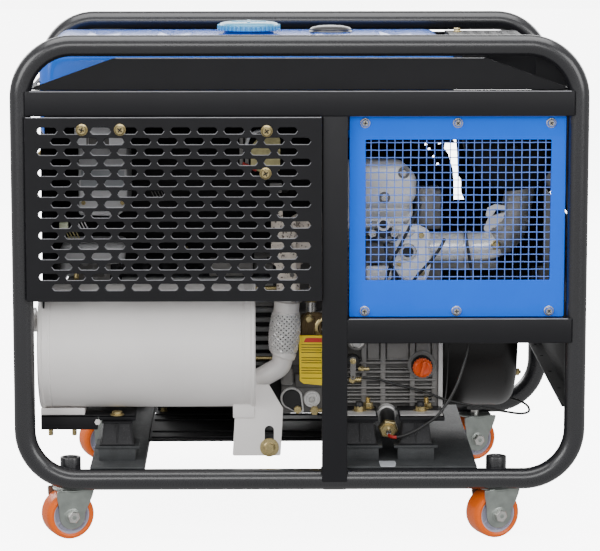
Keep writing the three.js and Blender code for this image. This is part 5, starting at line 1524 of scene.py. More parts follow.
def intake():
    piece = Piece("intake_pipe_bent", bright, casting_light, gold_zinc, rubber, casting)
    start, y, z = 184.6, -196, 466
    route = filleted([(start + 6, y, z), (348, y, z), (366, y + 24, 566)], 60, 16)
    piece.add(pipe(route, 23.6, 40))
    # cast elbow sleeve over the upper bend, with its ribs
    sleeve = route[6:]
    piece.add(pipe(sleeve, [24.8] + [24.5] * (len(sleeve) - 2) + [24.8], 40), 4)
    for k in (2, 6, 10):
        if k + 1 < len(sleeve):
            piece.turn([(23.6, -2.5), (26, -2), (26, 2), (23.6, 2.5)], sleeve[k], sleeve[k + 1] - sleeve[k],
                       40, 4)
    flange = filleted([(y - 34, z - 32), (y + 30, z - 32), (y + 30, z + 32), (y - 34, z + 32)], 12, 5, True)
    piece.add(plate(flange, [], start, start + 11, 1.4, FLAT_YZ), 1)
    for dy in (-24, 20):
        for dz in (-22, 22):
            hex_head(piece, (start + 11, y + dy, z + dz), RIGHT, 12, 7, 2, stud=5)
    # clamped rubber collar on the straight run, and the gold bolt on the elbow
    for x in (262, 276):
        piece.turn([(23, 0), (25.4, 0.5), (25.4, 7), (23, 7.5)], (x, y, z), RIGHT, 40, 1)
    hex_head(piece, (322, y - 26, z + 6), NEAR, 11, 6, 2, flange=8)
    bracket = [(300, z + 24), (344, z + 30), (340, z + 58), (312, z + 50)]
    piece.add(plate(filleted(bracket, 5, 4, True), [], -y + 2, -y + 5, 0.7), 1)
    piece.done(replaces="intake_pipe")


intake()


def air_cleaner():
    b = BOX["air_cleaner"]
    radius = (b.x1 - b.x0) / 2
    centre = (b.cx, b.y0, b.cz)
    length = b.y1 - b.y0
    piece = Piece("air_cleaner_can", painted_shade_plastic, black_sheet, black)
    profile = [(0, 3), (18, 3), (20, 0), (48, 0), (62, 2), (radius - 3, 7), (radius - 0.4, 14),
               (radius - 0.4, 46)]
    for k in range(5):
        s = 52 + k * 10
        profile += [(radius - 0.4, s), (radius - 2.2, s + 3), (radius - 2.2, s + 5), (radius - 0.4, s + 8)]
    profile += [(radius - 0.4, length - 14), (radius - 3, length - 5), (60, length), (0, length)]
    # the can in the darker, duller plastic: painted shade
    piece.turn(profile, centre, FAR, 72)
    piece.turn([(radius - 1, 40), (radius + 0.8, 41), (radius + 0.8, 48), (radius - 1, 49)], centre, FAR,
               72, 2)
    for a in (0.6, 2.6, 4.4):
        place = placed((b.cx, b.y0 + 44, b.cz), "Y", a)
        piece.add(block(radius - 2, radius + 1.6, -12, 14, -5, 5, 1.2, 2), 1, place)
    piece.turn(solid((7, -4), (7, -1), (4, 1)), centre, FAR, 6, 1)
    piece.done(replaces="air_cleaner")


air_cleaner()


def pump():
    piece = Piece("injection_pump_cast", pump_bronze, gold_zinc, zinc_bright, copper, black_sheet)
    near = -196
    piece.add(block(3, 44, near + 6, CASE_NEAR, 240, 352, 5, 4))
    outline = filleted([(3, 252), (44, 252), (44, 344), (34, 356), (12, 356), (3, 340)], 5, 4, True)
    piece.add(plate(outline, [], -near - 8, -near, 2.0))
    for x in (12, 24, 35):
        piece.add(block(x - 2, x + 2, near - 2.2, near + 6, 300, 350, 1.6, 3))
    piece.turn(solid((19, 0), (19, 5), (16.5, 6.5), (13, 6.5), (12, 4)), (44, near + 4, 330), NEAR, 40, 1)
    hex_head(piece, (44, near, 330), NEAR, 14, 7, 2)
    piece.turn(solid((9, 0), (9, 22), (7, 24), (7, 34)), (20, -184, 350), UP, 24, 2)
    hex_head(piece, (20, -184, 372), UP, 17, 9, 1)
    hex_head(piece, (16, near - 1, 346), NEAR, 10, 5, 1, flange=7)
    # high-pressure pipe up to the cylinder head
    pipe_route = smooth_route([(20, -184, 380), (20, -184, 404), (28, -192, 430), (44, -206, 456),
                               (66, -214, 476), (78, -214, 490)], 40)
    piece.add(pipe(pipe_route, 3.1, 12), 2)
    piece.done(replaces="injection_pump")


pump()


def pump_tag():
    """Hanging yellow tag with a red band and plain bars in place of its print."""
    piece = Piece("pump_tag", yellow, tag_red, tag_ink)
    x0, x1, z0, z1 = -0.5, 46, 237, 321
    y = -214.5

    def curl(part):
        for v in part.verts:
            t = (z1 - v.co.z) / (z1 - z0)
            v.co.y += -1.5 * sin(2.6 * t) + 1.2 * sin((v.co.x - x0) * 0.12)
        return part

    outline = filleted([(x0, z1), (x0 + 1.5, z0 + 8), (x0 + 8, z0 + 3), (x1, z0), (x1, z1)], 2.5, 4, True)
    shape = plate(outline, [], -y, -y + 0.9, 0.2)
    bmesh.ops.subdivide_edges(shape, edges=[e for e in shape.edges if e.calc_length() > 12], cuts=6)
    piece.add(curl(shape))
    band = plate(rectangle(x0 + 5, x1 - 2, z1 - 11.5, z1 - 4, 0.8, 2), [], -y + 0.9, -y + 1.3, 0.1)
    piece.add(curl(band), 1)
    rows = [z1 - 16 - k * 4.3 for k in range(14)]
    for k, z in enumerate(rows):
        if k in (4, 8, 12):
            continue
        width = (0.92, 0.97, 0.85, 0.95)[k % 4]
        line = plate(rectangle(x0 + 4, x0 + 4 + (x1 - x0 - 8) * width, z, z + 1.2, 0.2, 1), [], -y + 0.9,
                     -y + 1.15, 0.08)
        piece.add(curl(line), 2)
    piece.done()


pump_tag()


def stop_lever():
    piece = Piece("stop_lever_arm", casting, gold_zinc, plastic)
    pivot = (90, CASE_NEAR - 0.5, 272)
    piece.turn(solid((10.6, 0), (10.6, 3), (11, 4), (11, 11), (9.6, 12.6)), pivot, NEAR, 36, 2)
    for a in spread(24):
        piece.add(block(-0.8, 0.8, -11.4, -4.4, 10.6, 11.6, 0.3, 1), 2, placed(pivot, "Y", a))
    arm = filleted([(85, 279), (95, 279), (94, 240.5), (86, 240.5)], 3.6, 4, True)
    hole = circle(90, 245, 1.6, 14)
    piece.add(plate(arm, [hole], -CASE_NEAR + 13, -CASE_NEAR + 15.4, 0.5))
    hex_head(piece, (90, CASE_NEAR - 14.6, 272), NEAR, 9, 2, 1, phase=0.3)
    piece.done("stop_lever", replaces="stop_lever")


stop_lever()


def lever_fittings():
    """Governor fittings beside the stop lever: a brass union, a clamp and the cable's end."""
    piece = Piece("governor_fittings", plastic, gold_zinc, zinc_bright)
    y = CASE_NEAR
    piece.turn(rod(5, 9), (89, y + 1, 239), NEAR, 18, 1)
    hex_head(piece, (89, y - 5, 239), NEAR, 11, 4, 1)
    piece.turn(solid((4.4, 0), (4.4, 10), (3.4, 11)), (93, y - 6.5, 239), RIGHT, 16, 1)
    for x in (95, 98.5, 102):
        piece.turn([(3, 0), (4.8, 0.4), (4.8, 1.6), (3, 2)], (x, y - 6.5, 239.6), RIGHT, 16, 1)
    piece.turn(rod(4.4, 4), (99, y - 7, 258), RIGHT, 18, 1)
    hex_head(piece, (102, y - 7, 258), RIGHT, 8, 6, 1)
    piece.turn(rod(3, 10), (107, y - 7, 257.5), RIGHT, 14, 1)
    piece.turn(solid((13, 0), (13, 5), (10, 6.5)), (96.8, y + 4, 304), NEAR, 30, 2)
    piece.done()


lever_fittings()


def starter():
    y = CASE_FAR + 40
    piece = Piece("starter_motor_body", plastic, zinc_bright, gold_zinc, copper, casting)
    piece.turn(solid((30, 0), (35, 3), (37, 7), (37, 132), (35, 138)), (30, y, 262), RIGHT, 48)
    for s in (10, 126):
        piece.turn([(36, s), (37.8, s + 0.6), (37.8, s + 7), (36, s + 7.6)], (30, y, 262), RIGHT, 48, 1)
    piece.turn(solid((32, 0), (32, 4), (29, 8), (26, 36), (20, 48)), (166, y, 262), RIGHT, 44, 4)
    piece.turn(solid((20, 0), (23.6, 3), (23.6, 87), (20, 90)), (60, y, 320), RIGHT, 40, 1)
    piece.add(block(82, 128, y - 18, y + 18, 282, 306, 3, 3), 4)
    for dy in (-9, 9):
        piece.turn(rod(4, 14), (61, y + dy, 320), LEFT, 14, 3)
        hex_head(piece, (55, y + dy, 320), LEFT, 11, 5, 2)
    for dz in (-22, 22):
        hex_head(piece, (30, y, 262 + dz), LEFT, 8, 4, 2)
    piece.done(replaces="starter_motor")


starter()


def oil_cap():
    b = BOX["oil_filler_cap"]
    piece = Piece("oil_cap_moulded", orange_plastic)
    at = (b.cx, b.y1 - 0.3, b.cz)
    radius = (b.x1 - b.x0) / 2
    piece.turn([(0, 0), (radius, 0), (radius + 1.6, 1), (radius + 1.6, 8.5), (radius, 10.4),
                (radius - 3, 11.4), (radius - 5, 10.2), (0, 9.8)], at, NEAR, 56)
    for a in spread(20):
        piece.add(block(radius + 0.6, radius + 2.6, -8.4, -1, -1.1, 1.1, 0.7, 2), 0, placed(at, "Y", a))
    tilt = placed(at, "Y", radians(14))
    piece.add(block(-3, 3, -18.5, -8, -radius + 0.5, radius - 0.5, 2.4, 4), 0, tilt)
    piece.done("oil_filler_cap", replaces="oil_filler_cap")


oil_cap()


def sender():
    piece = Piece("pressure_sender", cable_black, gold_zinc, zinc_bright, red_plastic, casting_light)
    start = Vector((147, CASE_NEAR - 1.5, 182))
    axis = Vector((0, -1, -0.25)).normalized()
    piece.turn(solid((16, 0), (16, 10), (13, 12)), start + Vector((0, 6, 0)), axis, 32, 4)
    piece.turn(solid((12, 0), (12.4, 2), (12.4, 50), (11, 58)), start, axis, 40)
    head = start + axis * 57
    hex_head(piece, head, axis, 29, 9, 1, flange=0, phase=0.35)
    piece.turn([(9.4, 9), (10.6, 9), (10.6, 11.6), (9.4, 11.6)], head, axis, 32, 1)
    piece.turn(solid((4.4, 8), (4.4, 20), (3.4, 22.6)), head, axis, 24, 2)
    piece.done(replaces="oil_pressure_sender")


sender()

# ---------------------------------------------------------------- casters

CASTER_YAW = radians(22)
CASTER_TRAIL = 6
AXLE_Z = 39.66
CHEEK_IN, CHEEK_OUT = 23, 26


def caster(name):
    x, y = swivel_of(name)
    place = placed((x, y, 0), "Z", CASTER_YAW)
    axle = Vector((-CASTER_TRAIL, 0, AXLE_Z))
    stem_top = BOX[f"{name}_caster_fork"].z1
    fork = Piece(f"{name}_fork", zinc, zinc_bright)
    fork.turn(solid((27, 79), (30, 80.5), (30, 82.4), (28.6, 83.6), (12, 83.8)), (0, 0, 0), UP, 48, 0,
              place)
    fork.turn(solid((8, 82), (8, stem_top - 1.5), (6.6, stem_top)), (0, 0, 0), UP, 28, 1, place)
    fork.add(block(-24, 24, -CHEEK_OUT, CHEEK_OUT, 80, 83, 1.0, 2), 0, place)
    outline = [(-32, 82.6), (32, 82.6), (29, 72), (24, 60), (18.5, 50)]
    outline += [(-CASTER_TRAIL + 22 * cos(a), AXLE_Z + 22 * sin(a))
                for a in [-pi * k / 12 + 0.12 for k in range(13)]]
    outline += [(-29, 56), (-31.5, 70)]
    for low, high in ((-CHEEK_OUT, -CHEEK_IN), (CHEEK_IN, CHEEK_OUT)):
        fork.add(plate(filleted(outline, 2.5, 3, True), [], low, high, 0.7), 0, place)
    for side in (-1, 1):
        face = axle + Vector((0, side * (CHEEK_OUT - 0.3), 0))
        fork.turn(solid((13, 0), (13, 0.8), (11.6, 1.4)), face, (0, side, 0), 36, 0, place)
    head = turned(solid((10.4, 0), (10.4, 7.6), (9.2, 8.8)), axle + Vector((0, -CHEEK_OUT - 1, 0)), NEAR, 6,
                  0.3)
    fork.add(head, 1, place)
    fork.turn([(0, 8), (6.4, 8), (6.4, 8.6), (5.9, 9.4), (3, 9.9), (0, 10)],
              axle + Vector((0, -CHEEK_OUT, 0)), NEAR, 28, 0, place)
    fork.turn(solid((9.4, 0), (9.4, 5.6), (8.4, 6.6)), axle + Vector((0, CHEEK_OUT, 0)), FAR, 6, 1, place)
    fork.add(pipe([axle + Vector((0, s, 0)) for s in (-CHEEK_OUT, CHEEK_OUT)], 5.4, 20), 1, place)
    fork.done(f"{name}_swivel", replaces=f"{name}_caster_fork")

    wheel = Piece(f"{name}_wheel", orange_tyre, hub_lilac, zinc_bright)
    tread = [(30.3, -21.4), (33.6, -22.4), (37.2, -21), (39.4, -17), (40, -11), (40, 11), (39.4, 17),
             (37.2, 21), (33.6, 22.4), (30.3, 21.4)]
    wheel.turn(tread, axle, FAR, 72, 0, place)
    hub = [(6.2, -20), (12, -20.2), (13, -19), (14.4, -15.5), (25.6, -15), (27, -18.3), (28.4, -19.8),
           (30.6, -19.6), (30.6, 19.6), (28.4, 19.8), (27, 18.3), (25.6, 15), (14.4, 15.5), (13, 19),
           (12, 20.2), (6.2, 20)]
    wheel.turn(hub, axle, FAR, 60, 1, place)
    for a in spread(6):
        wheel.add(block(-1.6, 1.6, -17.4, 17.4, 12.6, 27, 0.7, 2), 1, place @ placed(axle, "Y", a))
    wheel.done(f"{name}_wheel", replaces=f"{name}_caster_wheel")


for caster_name in CASTERS:
    caster(caster_name)

# ---------------------------------------------------------------- control panel on the far side

PANEL_FACE = 312
TOGGLE_AT = (-290, 470)
KNOB_AT = (-110, 520)
KEY_AT = (-370, 470)
SOCKET_Z, LAMP_Z, DIAL_PIVOT_Z, OUTLET_Z = 438, 536, 592, 612


def control_box():
    b = BOX["control_box"]
    wall = 2.5
    piece = Piece("control_box_sheet", black_sheet, gold_zinc, plastic)
    piece.blocks(0, (b.x0, b.x1, b.y0, b.y0 + wall, b.z0, b.z1, 0.8, 2),
                 (b.x0, b.x1, b.y0 + 1, b.y1, b.z0, b.z0 + wall, 0.8, 2),
                 (b.x0, b.x1, b.y0 + 1, b.y1, b.z1 - wall, b.z1, 0.8, 2),
                 (b.x0, b.x0 + wall, b.y0 + 1, b.y1, b.z0 + 1, b.z1 - 1, 0.8, 2),
                 (b.x1 - wall, b.x1, b.y0 + 1, b.y1, b.z0 + 1, b.z1 - 1, 0.8, 2))
    for x in (b.x0 + 30, b.cx, b.x1 - 30):
        for z in (b.z0 + 18, b.z1 - 18):
            hex_head(piece, (x, b.y0, z), NEAR, 8, 3.5, 1, flange=6)
    for z in (430, 520, 600):
        piece.turn(solid((11, 0), (11, 3), (8, 5)), (-20, b.y0, z), NEAR, 24, 2)
    piece.done(replaces="control_box")


control_box()


def control_panel():
    b = BOX["control_panel"]
    piece = Piece("control_panel_plate", blue, gold_zinc, plastic)
    x, z = TOGGLE_AT
    window = rectangle(x - 11, x + 11, z - 11, z + 11, 2, 3)
    piece.add(plate(rectangle(b.x0, b.x1, b.z0, b.z1, 4, 4), [window], -PANEL_FACE, -b.y0, 0.7))
    for x in (b.x0 + 14, (b.x0 + b.x1) / 2, b.x1 - 14):
        for z in (b.z0 + 12, b.z1 - 12):
            cross_screw(piece, (x, PANEL_FACE, z), FAR, 6.6, 4.2, 1, 2, washer=8)
    piece.done(replaces="control_panel")


control_panel()


def panel_fittings():
    """Instruments, outlets and weld terminals on the control panel, with no print beyond a dial's ticks."""
    piece = Piece("panel_fittings", plastic, zinc_bright, white_plastic, copper, red_plastic, gold_zinc,
                  orange_plastic, label_plain)
    f = PANEL_FACE

    def badge(x0, x1, z0, z1, tone=0, height=1.6, corner=4):
        piece.add(plate(rectangle(x0, x1, z0, z1, corner, 4), [], -f - height, -f + 0.4, 0.5), tone)

    badge(-190, 16, 406, 470)
    # two welding sockets
    for x, ring_look in ((-148, 4), (-28, 2)):
        piece.turn(solid((25, 0), (25, 4), (22, 6), (20, 17), (17, 19), (11, 19), (11, 6)),
                   (x, f + 1, SOCKET_Z), FAR, 44)
        piece.turn([(11.2, 5), (14, 5), (14, 20), (11.2, 20)], (x, f + 1, SOCKET_Z), FAR, 40, 3)
        piece.turn([(22.4, 4), (25.4, 4.4), (25.4, 6.6), (22, 7)], (x, f + 1, SOCKET_Z), FAR, 44, ring_look)
    # earth stud with its nut
    hex_head(piece, (-88, f, 420), FAR, 13, 6, 5, flange=9, stud=9)
    # dial ring about the current knob
    kx, kz = KNOB_AT
    badge(kx - 46, kx + 46, kz - 42, kz + 46, 0, 1.2, 8)
    for k in range(11):
        place = placed((kx, f + 1.1, kz), "Y", radians(-150 + 30 * k))
        half, end = (0.8, 36) if k % 5 else (1.4, 39)
        piece.add(block(-half, half, 0, 0.7, 30, end, 0.2, 1), 2, place)
    # two meters with needles
    for mx in (-330, -236):
        badge(mx - 36, mx + 36, 572, 636, 0, 7, 5)
        badge(mx - 31, mx + 31, 590, 631, 2, 7.8, 3)
        for k in range(13):
            place = placed((mx, f + 7.6, DIAL_PIVOT_Z), "Y", radians(-48 + 8 * k))
            piece.add(block(-0.4, 0.4, 0, 0.5, 29, 33, 0.1, 1), 0, place)
        place = placed((mx, f + 8.2, DIAL_PIVOT_Z), "Y", radians(-38))
        piece.add(block(-0.5, 0.5, 0, 0.5, 0, 30, 0.1, 1), 4, place)
        piece.turn([(0, 0), (5, 0), (5, 1.2), (0, 1.6)], (mx, f + 7.8, 591), FAR, 24)
    # two round outlets
    for ox in (-136, -70):
        piece.add(plate(rectangle(ox - 27, ox + 27, OUTLET_Z - 30, OUTLET_Z + 30, 6, 4), [], -f - 4,
                        -f + 0.4, 0.8), 0)
        piece.turn(solid((22, 0), (22, 9), (19.6, 12), (18, 12), (18, 5)), (ox, f + 3, OUTLET_Z), FAR, 44)
        for dx, dz in ((-7, 3), (7, 3), (0, -8)):
            piece.turn(rod(2.4, 1.4), (ox + dx, f + 8, OUTLET_Z + dz), FAR, 14, 1)
        for dx, dz in ((-21, 24), (21, -24)):
            cross_screw(piece, (ox + dx, f + 4, OUTLET_Z + dz), FAR, 3.6, 2.0, 1, 0)
    # key switch rose, breaker frame, lamps and empty label fields
    piece.turn([(10.2, 0), (17, 0), (17, 2.2), (15, 3.6), (10.2, 3.6)], (KEY_AT[0], f, KEY_AT[1]), FAR, 40,
               1)
    tx, tz = TOGGLE_AT
    window = rectangle(tx - 12, tx + 12, tz - 12, tz + 12, 2, 3)
    piece.add(plate(rectangle(tx - 22, tx + 22, tz - 30, tz + 30, 3, 3), [window], -f - 3, -f + 0.4, 0.6),
              0)
    for lx, index in ((-372, 6), (-344, 4), (-316, 2)):
        piece.turn([(0, 0), (8, 0), (8, 2), (6, 2.6), (5.6, 6), (3, 7.6), (0, 8)], (lx, f, LAMP_Z), FAR, 28,
                   index)
    badge(-400, -308, 652, 676, 7, 0.9, 2)
    badge(-250, -206, 486, 500, 7, 0.9, 2)
    piece.done()


panel_fittings()


def current_knob():
    b = BOX["current_knob"]
    piece = Piece("current_knob_moulded", plastic, white_plastic)
    kx, kz = KNOB_AT
    length = b.y1 - b.y0
    start = (kx, b.y0, kz)
    piece.turn(solid((23.6, 0), (23.8, 1.4), (20.8, 4), (19.4, length - 2.5), (17, length)), start, FAR, 56)
    for a in spread(24):
        piece.add(block(-1.3, 1.3, 4.4, length - 2, 18.6, 21.6, 0.8, 2), 0, placed(start, "Y", a))
    piece.add(block(kx - 0.9, kx + 0.9, b.y0 + length - 0.8, b.y0 + length, kz + 4, kz + 16, 0.3, 1), 1)
    piece.done("current_knob", replaces="current_knob")


current_knob()


def ignition_key():
    b = BOX["ignition_key"]
    piece = Piece("ignition_key_cut", cheek_white, plastic)
    x, z = KEY_AT
    piece.turn(solid((8.8, 0), (8.8, 6.4), (7.6, 7.8)), (x, b.y0, z), FAR, 36)
    bow = filleted([(b.y0 + 6, z - 4), (b.y0 + 11, z - 10), (b.y1, z - 10), (b.y1, z + 10),
                    (b.y0 + 11, z + 10), (b.y0 + 6, z + 4)], 4, 4, True)
    hole = circle(b.y1 - 4.5, z, 2.4, 16)
    piece.add(plate(bow, [hole], x - 2, x + 2, 0.6, FLAT_YZ), 1)
    piece.done("ignition_key", replaces="ignition_key")


ignition_key()


def breaker_toggle():
    b = BOX["breaker_toggle"]
    piece = Piece("breaker_toggle_bat", plastic, white_plastic)
    x, z = TOGGLE_AT
    rings = []
    for y, half, tall in ((b.y0, 4.6, 3.2), (b.y0 + 5, 4.6, 3.2), (b.y0 + 12, 5.2, 3.5), (b.y1 - 2, 6, 4),
                          (b.y1, 5, 3.2)):
        outline = rectangle(x - half, x + half, z - tall, z + tall, 1.6, 4)
        rings.append([Vector((p.x, y, p.y)) for p in outline])
    piece.add(joined_rings(rings))
    piece.add(block(x - 3, x + 3, b.y1 - 0.5, b.y1 + 0.2, z - 0.6, z + 0.6, 0.2, 1), 1)
    piece.done("breaker_toggle", replaces="breaker_toggle")


breaker_toggle()


def rectifier():
    b = BOX["rectifier_unit"]
    piece = Piece("rectifier_cover", cover_grey, black_sheet, label_plain, gold_zinc)
    outline = filleted([(b.x0, b.z0 + 3), (b.x1 - 17, b.z0), (b.x1, b.z0 + 15), (b.x1, b.z1), (b.x0, b.z1)],
                       4, 3, True)
    piece.add(plate(outline, [], -b.y1, -b.y0, 1.6))
    piece.blocks(1, (b.x0 + 24, b.x1 - 26, b.y0 - 0.8, b.y0 + 1, b.z1 - 17, b.z1 - 4, 0.4, 1),
                 (b.x0 + 26, b.x1 - 28, b.y0 - 0.8, b.y0 + 1, b.z1 - 46, b.z1 - 40, 0.4, 1))
    piece.add(block(b.x0 + 4, b.x1 - 4, b.y0 - 0.5, b.y0 + 1, b.z1 - 98, b.z1 - 66, 0.4, 1), 2)
    for x in (b.x0 + 8, b.x1 - 8):
        for z in (b.z1 - 8, b.z0 + 24):
            hex_head(piece, (x, b.y0, z), NEAR, 7, 3, 3)
    piece.done(replaces="rectifier_unit")


rectifier()


def battery():
    b = BOX["battery"]
    piece = Piece("battery_case", plastic, zinc_bright, red_plastic, cable_black, casting_dark)
    top, post_y = b.z1 - 14, 176
    piece.add(rounded_body(b.x0, b.x1, b.y0, b.y1, b.z0, top - 16, 4, 2, 3))
    piece.add(rounded_body(b.x0 - 1.5, b.x1 + 1.5, b.y0 - 1.5, b.y1 + 1.5, top - 18, top, 5, 2.5, 3))
    for k in range(6):
        x = b.x0 + 24 + k * (b.x1 - b.x0 - 48) / 5
        piece.turn(solid((9, 0), (9, 2), (7.6, 3.4)), (x, b.cy + 26, top - 0.3), UP, 28, 4)
    for k in range(9):
        x = b.x0 + 16 + k * (b.x1 - b.x0 - 32) / 8
        piece.add(block(x - 2, x + 2, b.y1 - 1, b.y1 + 1.6, b.z0 + 12, top - 26, 1, 2))
    for x, index in ((-220, 2), (-66, 3)):
        piece.add(block(x - 9, x + 9, post_y - 9, post_y + 9, top - 6, b.z1 - 3, 2, 3), 1)
        piece.turn(solid((12.6, 0), (12.6, 5), (9, 8)), (x, post_y, top - 0.4), UP, 28, index)
        hex_head(piece, (x, post_y, b.z1 - 5), UP, 9, 4.6, 1)
    strap_y = b.cy + 44
    piece.add(block(b.x0 - 3, b.x1 + 3, strap_y - 7, strap_y + 7, top - 0.6, top + 1.8, 0.6, 2), 4)
    piece.done(replaces="battery")


battery()

# ---------------------------------------------------------------- inner sheets and hardware behind the guards


def inner_sheets():
    """Black sheets under the tank, behind the screen and inside the left end; the near-black ones are painted
    shade standing for the dark inside.
    """
    piece = Piece("inner_shade_sheets", painted_shade_black, gold_zinc, black_sheet)
    # near-black sheets under the tank and inside the left end: painted shade
    piece.blocks(0, (-413, 34, -236, -234, 641, 692, 0.4, 1), (-413, 252, -234, 150, 641.5, 643.5, 0.4, 1),
                 (-414.2, -413.2, -284, 288, 345, 640, 0.3, 1))
    piece.add(block(-415.8, -414.2, -284, 288, 345, 640, 0.4, 1), 2)
    for y in (-190, -64, 64, 190):
        piece.add(block(-419.4, -415, y - 40, y + 40, 372, 612, 1.6, 3), 2)
    for y in (-270, 2, 274):
        for z in (358, 627):
            cross_screw(piece, (-416, y, z), LEFT, 6.4, 3.6, 1, 0, washer=9)
    piece.add(plate([(380, 736), (433, 736), (428, 748), (404, 786), (380, 786)], [], 262, 264, 0.3), 2)
    slit = [(255, 622), (251.6, 605), (258.5, 596), (267.3, 567), (268.7, 545), (269, 516), (286.7, 516),
            (281.4, 529), (281.2, 550), (276, 558), (275, 576), (273.9, 598), (272, 622)]
    # small gaps beside the long one
    chinks = []
    for x, z in ((220.6, 612), (225.8, 603), (233.8, 590), (240.5, 577), (243.6, 614)):
        chinks.append([(x - 2.2, z - 2.6), (x + 2.8, z - 1.4), (x + 1.2, z + 3), (x - 1.8, z + 1.8)])
    # near-black sheet behind the screen, with the long slit and small gaps left open: painted shade
    outline = [(80, 560), (160, 560), (160, 458), (243, 458), (243, 477), (372, 477), (372, 400),
               (424, 400), (424, 640), (80, 640)]
    piece.add(plate(outline, [slit, *chinks], -22, -20, 0.0))
    piece.done()


inner_sheets()


def guard_side_details():
    """Small hardware that shows through the slots of the service guard."""
    piece = Piece("guard_side_hardware", brass_old, beige, cover_grey, copper, cream, casting_dark,
                  red_plastic, casting)
    # brass junction bracket with two curved arms
    piece.add(plate(filleted([(-79, 602), (-79, 636), (-66, 652), (-31, 652), (-31, 596), (-66, 596)], 5, 4,
                             True), [], 238, 241, 0.6), 0)
    for points in ([(-86, 640), (-80, 654), (-66, 662), (-56, 660)], [(-44, 662), (-34, 656), (-22, 650)]):
        piece.add(pipe(smooth_route([(x, -243, z) for x, z in points], 14), 2.6, 8), 2)
    for x in (-97, -88):
        piece.add(block(x, x + 6, -243, -239, 606, 660, 1, 1), 7)
    piece.add(pipe([(-92, -245, 610), (-80, -246, 604), (-70, -245, 598)], 2.4, 8), 6)
    # upper end of the terminal box
    piece.add(block(-364, -282, -242, -238, 636, 668, 1.5, 2), 2)
    piece.add(block(-341, -308, -243.4, -241, 637, 651, 1.0, 2), 5)
    piece.add(block(-345, -341.6, -243.4, -241, 622, 668, 0.8, 1), 7)
    # exhaust gasket plates
    piece.add(plate(filleted([(-46, 446), (-46, 536), (-27, 536), (-27, 518), (-5, 518), (-5, 400),
                              (-36, 400), (-38, 440)], 4, 3, True), [], 236, 240, 0.8), 1)
    piece.add(plate(filleted([(-18, 450), (20, 450), (20, 506), (-18, 506)], 8, 3, True), [], 230, 234,
                    0.8), 1)
    piece.add(plate(filleted([(-48, 556), (-28, 556), (-28, 572), (-48, 572)], 2, 2, True), [], 200, 204,
                    0.6), 7)
    for x, z in ((-34, 520), (-14, 470), (-12, 426), (10, 494)):
        hex_head(piece, (x, -240, z), NEAR, 7, 3, 5)
    # terminal box on the alternator
    piece.add(rounded_body(-404, -294, -46, 66, 392, 448, 14, 9, 5), 2)
    piece.add(block(-366, -354, -49, -44, 410, 420, 1, 2), 5)
    piece.turn(solid((6, 0), (6, 6), (4, 7)), (-348, -46, 415), NEAR, 20, 5)
    piece.add(block(-150, -76, -80, -60, 398, 428, 3, 2), 7)
    # small leads and terminals at the left end
    piece.turn(rod(5, 10), (-366, -206, 660), NEAR, 18)
    piece.add(block(-376, -357, -208, -204, 654, 666, 1.5, 2), 0)
    for x, index in ((-396, 3), (-389, 6), (-380, 0)):
        piece.turn(solid((4, 0), (4, 8), (3, 9)), (x, -204, 643), NEAR, 16, index)
    piece.add(block(-393, -379, -208, -196, 497, 508, 1.5, 2), 4)
    for k in range(5):
        x = -366 + k * 5.5
        piece.add(pipe([(x, -200, 492), (x - 8, -201, 508)], 0.9, 6), 2)
        piece.add(pipe([(x - 14, -200, 476), (x - 22, -201, 492)], 0.9, 6), 0)
    for k in range(6):
        piece.add(pipe([(-236 + k * 5.4, -196, 546), (-242 + k * 5.4, -197, 558)], 0.6, 6), 5)
    piece.done()


guard_side_details()


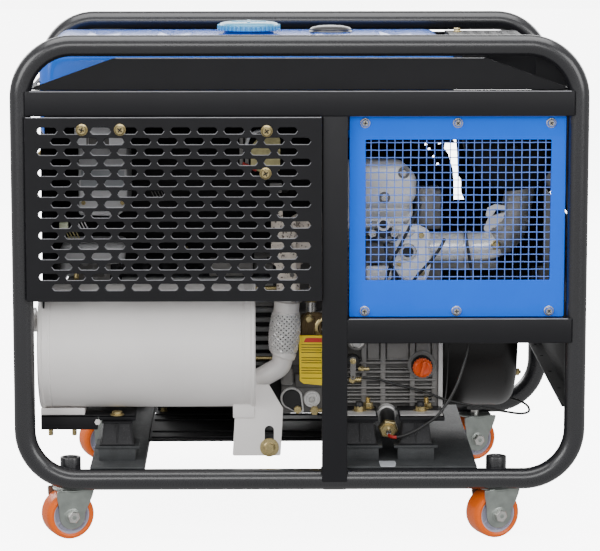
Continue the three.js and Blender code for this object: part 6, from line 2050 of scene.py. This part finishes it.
def screen_side_details():
    """Cylinder head covers, valve cluster and hoses that show through the blue screen."""
    piece = Piece("head_side_hardware", cover_grey, casting, zinc_bright, plastic, gold_zinc, casting_dark,
                  casting_light)
    # domed valve cover
    dome = filleted([(60, 538), (60, 615), (164, 615), (189, 590), (189, 556), (174, 538)], 22, 8, True)
    dome = [Vector((p[0], p[1])) for p in reversed(dome)]
    # black plate under the valve cover: painted shade
    piece.add(block(62, 172, -238, -234, 510, 542, 1, 1), 3)
    rings = []
    for y, back in ((-236, 0), (-256, 0), (-263, 2.5), (-268, 7), (-271, 14)):
        rings.append([Vector((x, y, z)) for x, z in (inset(dome, back) if back else dome)])
    piece.add(joined_rings(rings), 6)
    for x, z in ((137, 556.5), (168, 597)):
        piece.turn(hoop(6, 9.5, 2), (x, -269.5, z), NEAR, 28, 5)
        hex_head(piece, (x, -270, z), NEAR, 10, 4, 2)
    # rounded intake cover with its port ring
    cover = filleted([(150, 506), (142, 470), (152, 436), (172, 416), (208, 416), (214, 440), (212, 500),
                      (190, 510)], 12, 4, True)
    piece.add(plate(cover, [], 236, 248, 3.0), 0)
    piece.add(block(156, 206, -240, -200, 430, 494, 6, 3), 1)
    piece.turn([(9, 0), (14, 0), (14, 4), (12.6, 5.4), (9, 5.4)], (176.7, -247.6, 465), NEAR, 36, 2)
    piece.turn(rod(9.4, 2), (176.7, -247.6, 465), NEAR, 30, 3)
    for x, z in ((163, 446), (198, 492), (200, 430)):
        hex_head(piece, (x, -248, z), NEAR, 9, 4, 4)
    piece.add(block(108, 150, -252, -244, 418, 442, 5, 3), 0)
    piece.add(block(108, 158, -250, -226, 446, 482, 6, 3), 5)
    # valve cluster
    piece.turn([(7, 0), (10.6, 0), (11, 3), (10.6, 6), (7, 6)], (135.8, -262, 512.4), NEAR, 30, 6)
    piece.turn(rod(7, 2), (135.8, -262, 512.4), NEAR, 24, 3)
    for x in (118, 153.8):
        hex_head(piece, (x, -260, 497.6), NEAR, 13, 7, 2, stud=5)
    piece.add(block(112, 160, -262, -250, 484, 503, 4, 3), 3)
    piece.add(pipe([(126, -264, 489), (136, -268, 486), (148, -264, 489)], 4.4, 12), 5)
    piece.add(pipe(smooth_route([(160, -256, 498), (176, -254, 494), (186, -246, 498)], 16), 4, 12), 6)
    # crossing hoses
    high = [(196, -262, 546), (180, -268, 512), (166, -268, 484), (150, -266, 451), (140, -262, 420)]
    middle = [(236, -262, 488), (224, -268, 468), (211, -268, 451), (190, -264, 426), (178, -258, 408)]
    low = [(138, -266, 480), (142, -266, 462), (149, -266, 446), (162, -262, 420), (168, -258, 406)]
    for route in (high, middle, low):
        piece.add(pipe(smooth_route(route, 26), 2.6, 10), 3)
    # casting beside the head, and the rib under the intake pipe
    piece.add(block(190, 234, -196, -130, 494, 560, 5, 3), 5)
    piece.blocks(1, (196, 222, -208, -190, 500, 566, 6, 3), (214, 330, -182, -150, 424, 442, 5, 3))
    piece.add(block(192, 236, -184, -140, 400, 446, 5, 3), 5)
    tip = filleted([(306, 516), (309, 531), (322, 537), (340, 534), (340, 527), (324, 528), (317, 516)], 3,
                   3, True)
    piece.add(plate(tip, [], 200, 203, 0.8), 0)
    piece.done()


screen_side_details()

# ---------------------------------------------------------------- floor

floor_mesh = bpy.data.meshes.new("floor")
shape = bmesh.new()
bmesh.ops.create_grid(shape, x_segments=8, y_segments=8, size=FLOOR_HALF)
shape.to_mesh(floor_mesh)
shape.free()
floor_mesh.materials.append(floor_paper)
floor = bpy.data.objects.new("floor", floor_mesh)
floor.visible_diffuse = False
floor.visible_glossy = False
bpy.context.scene.collection.objects.link(floor)
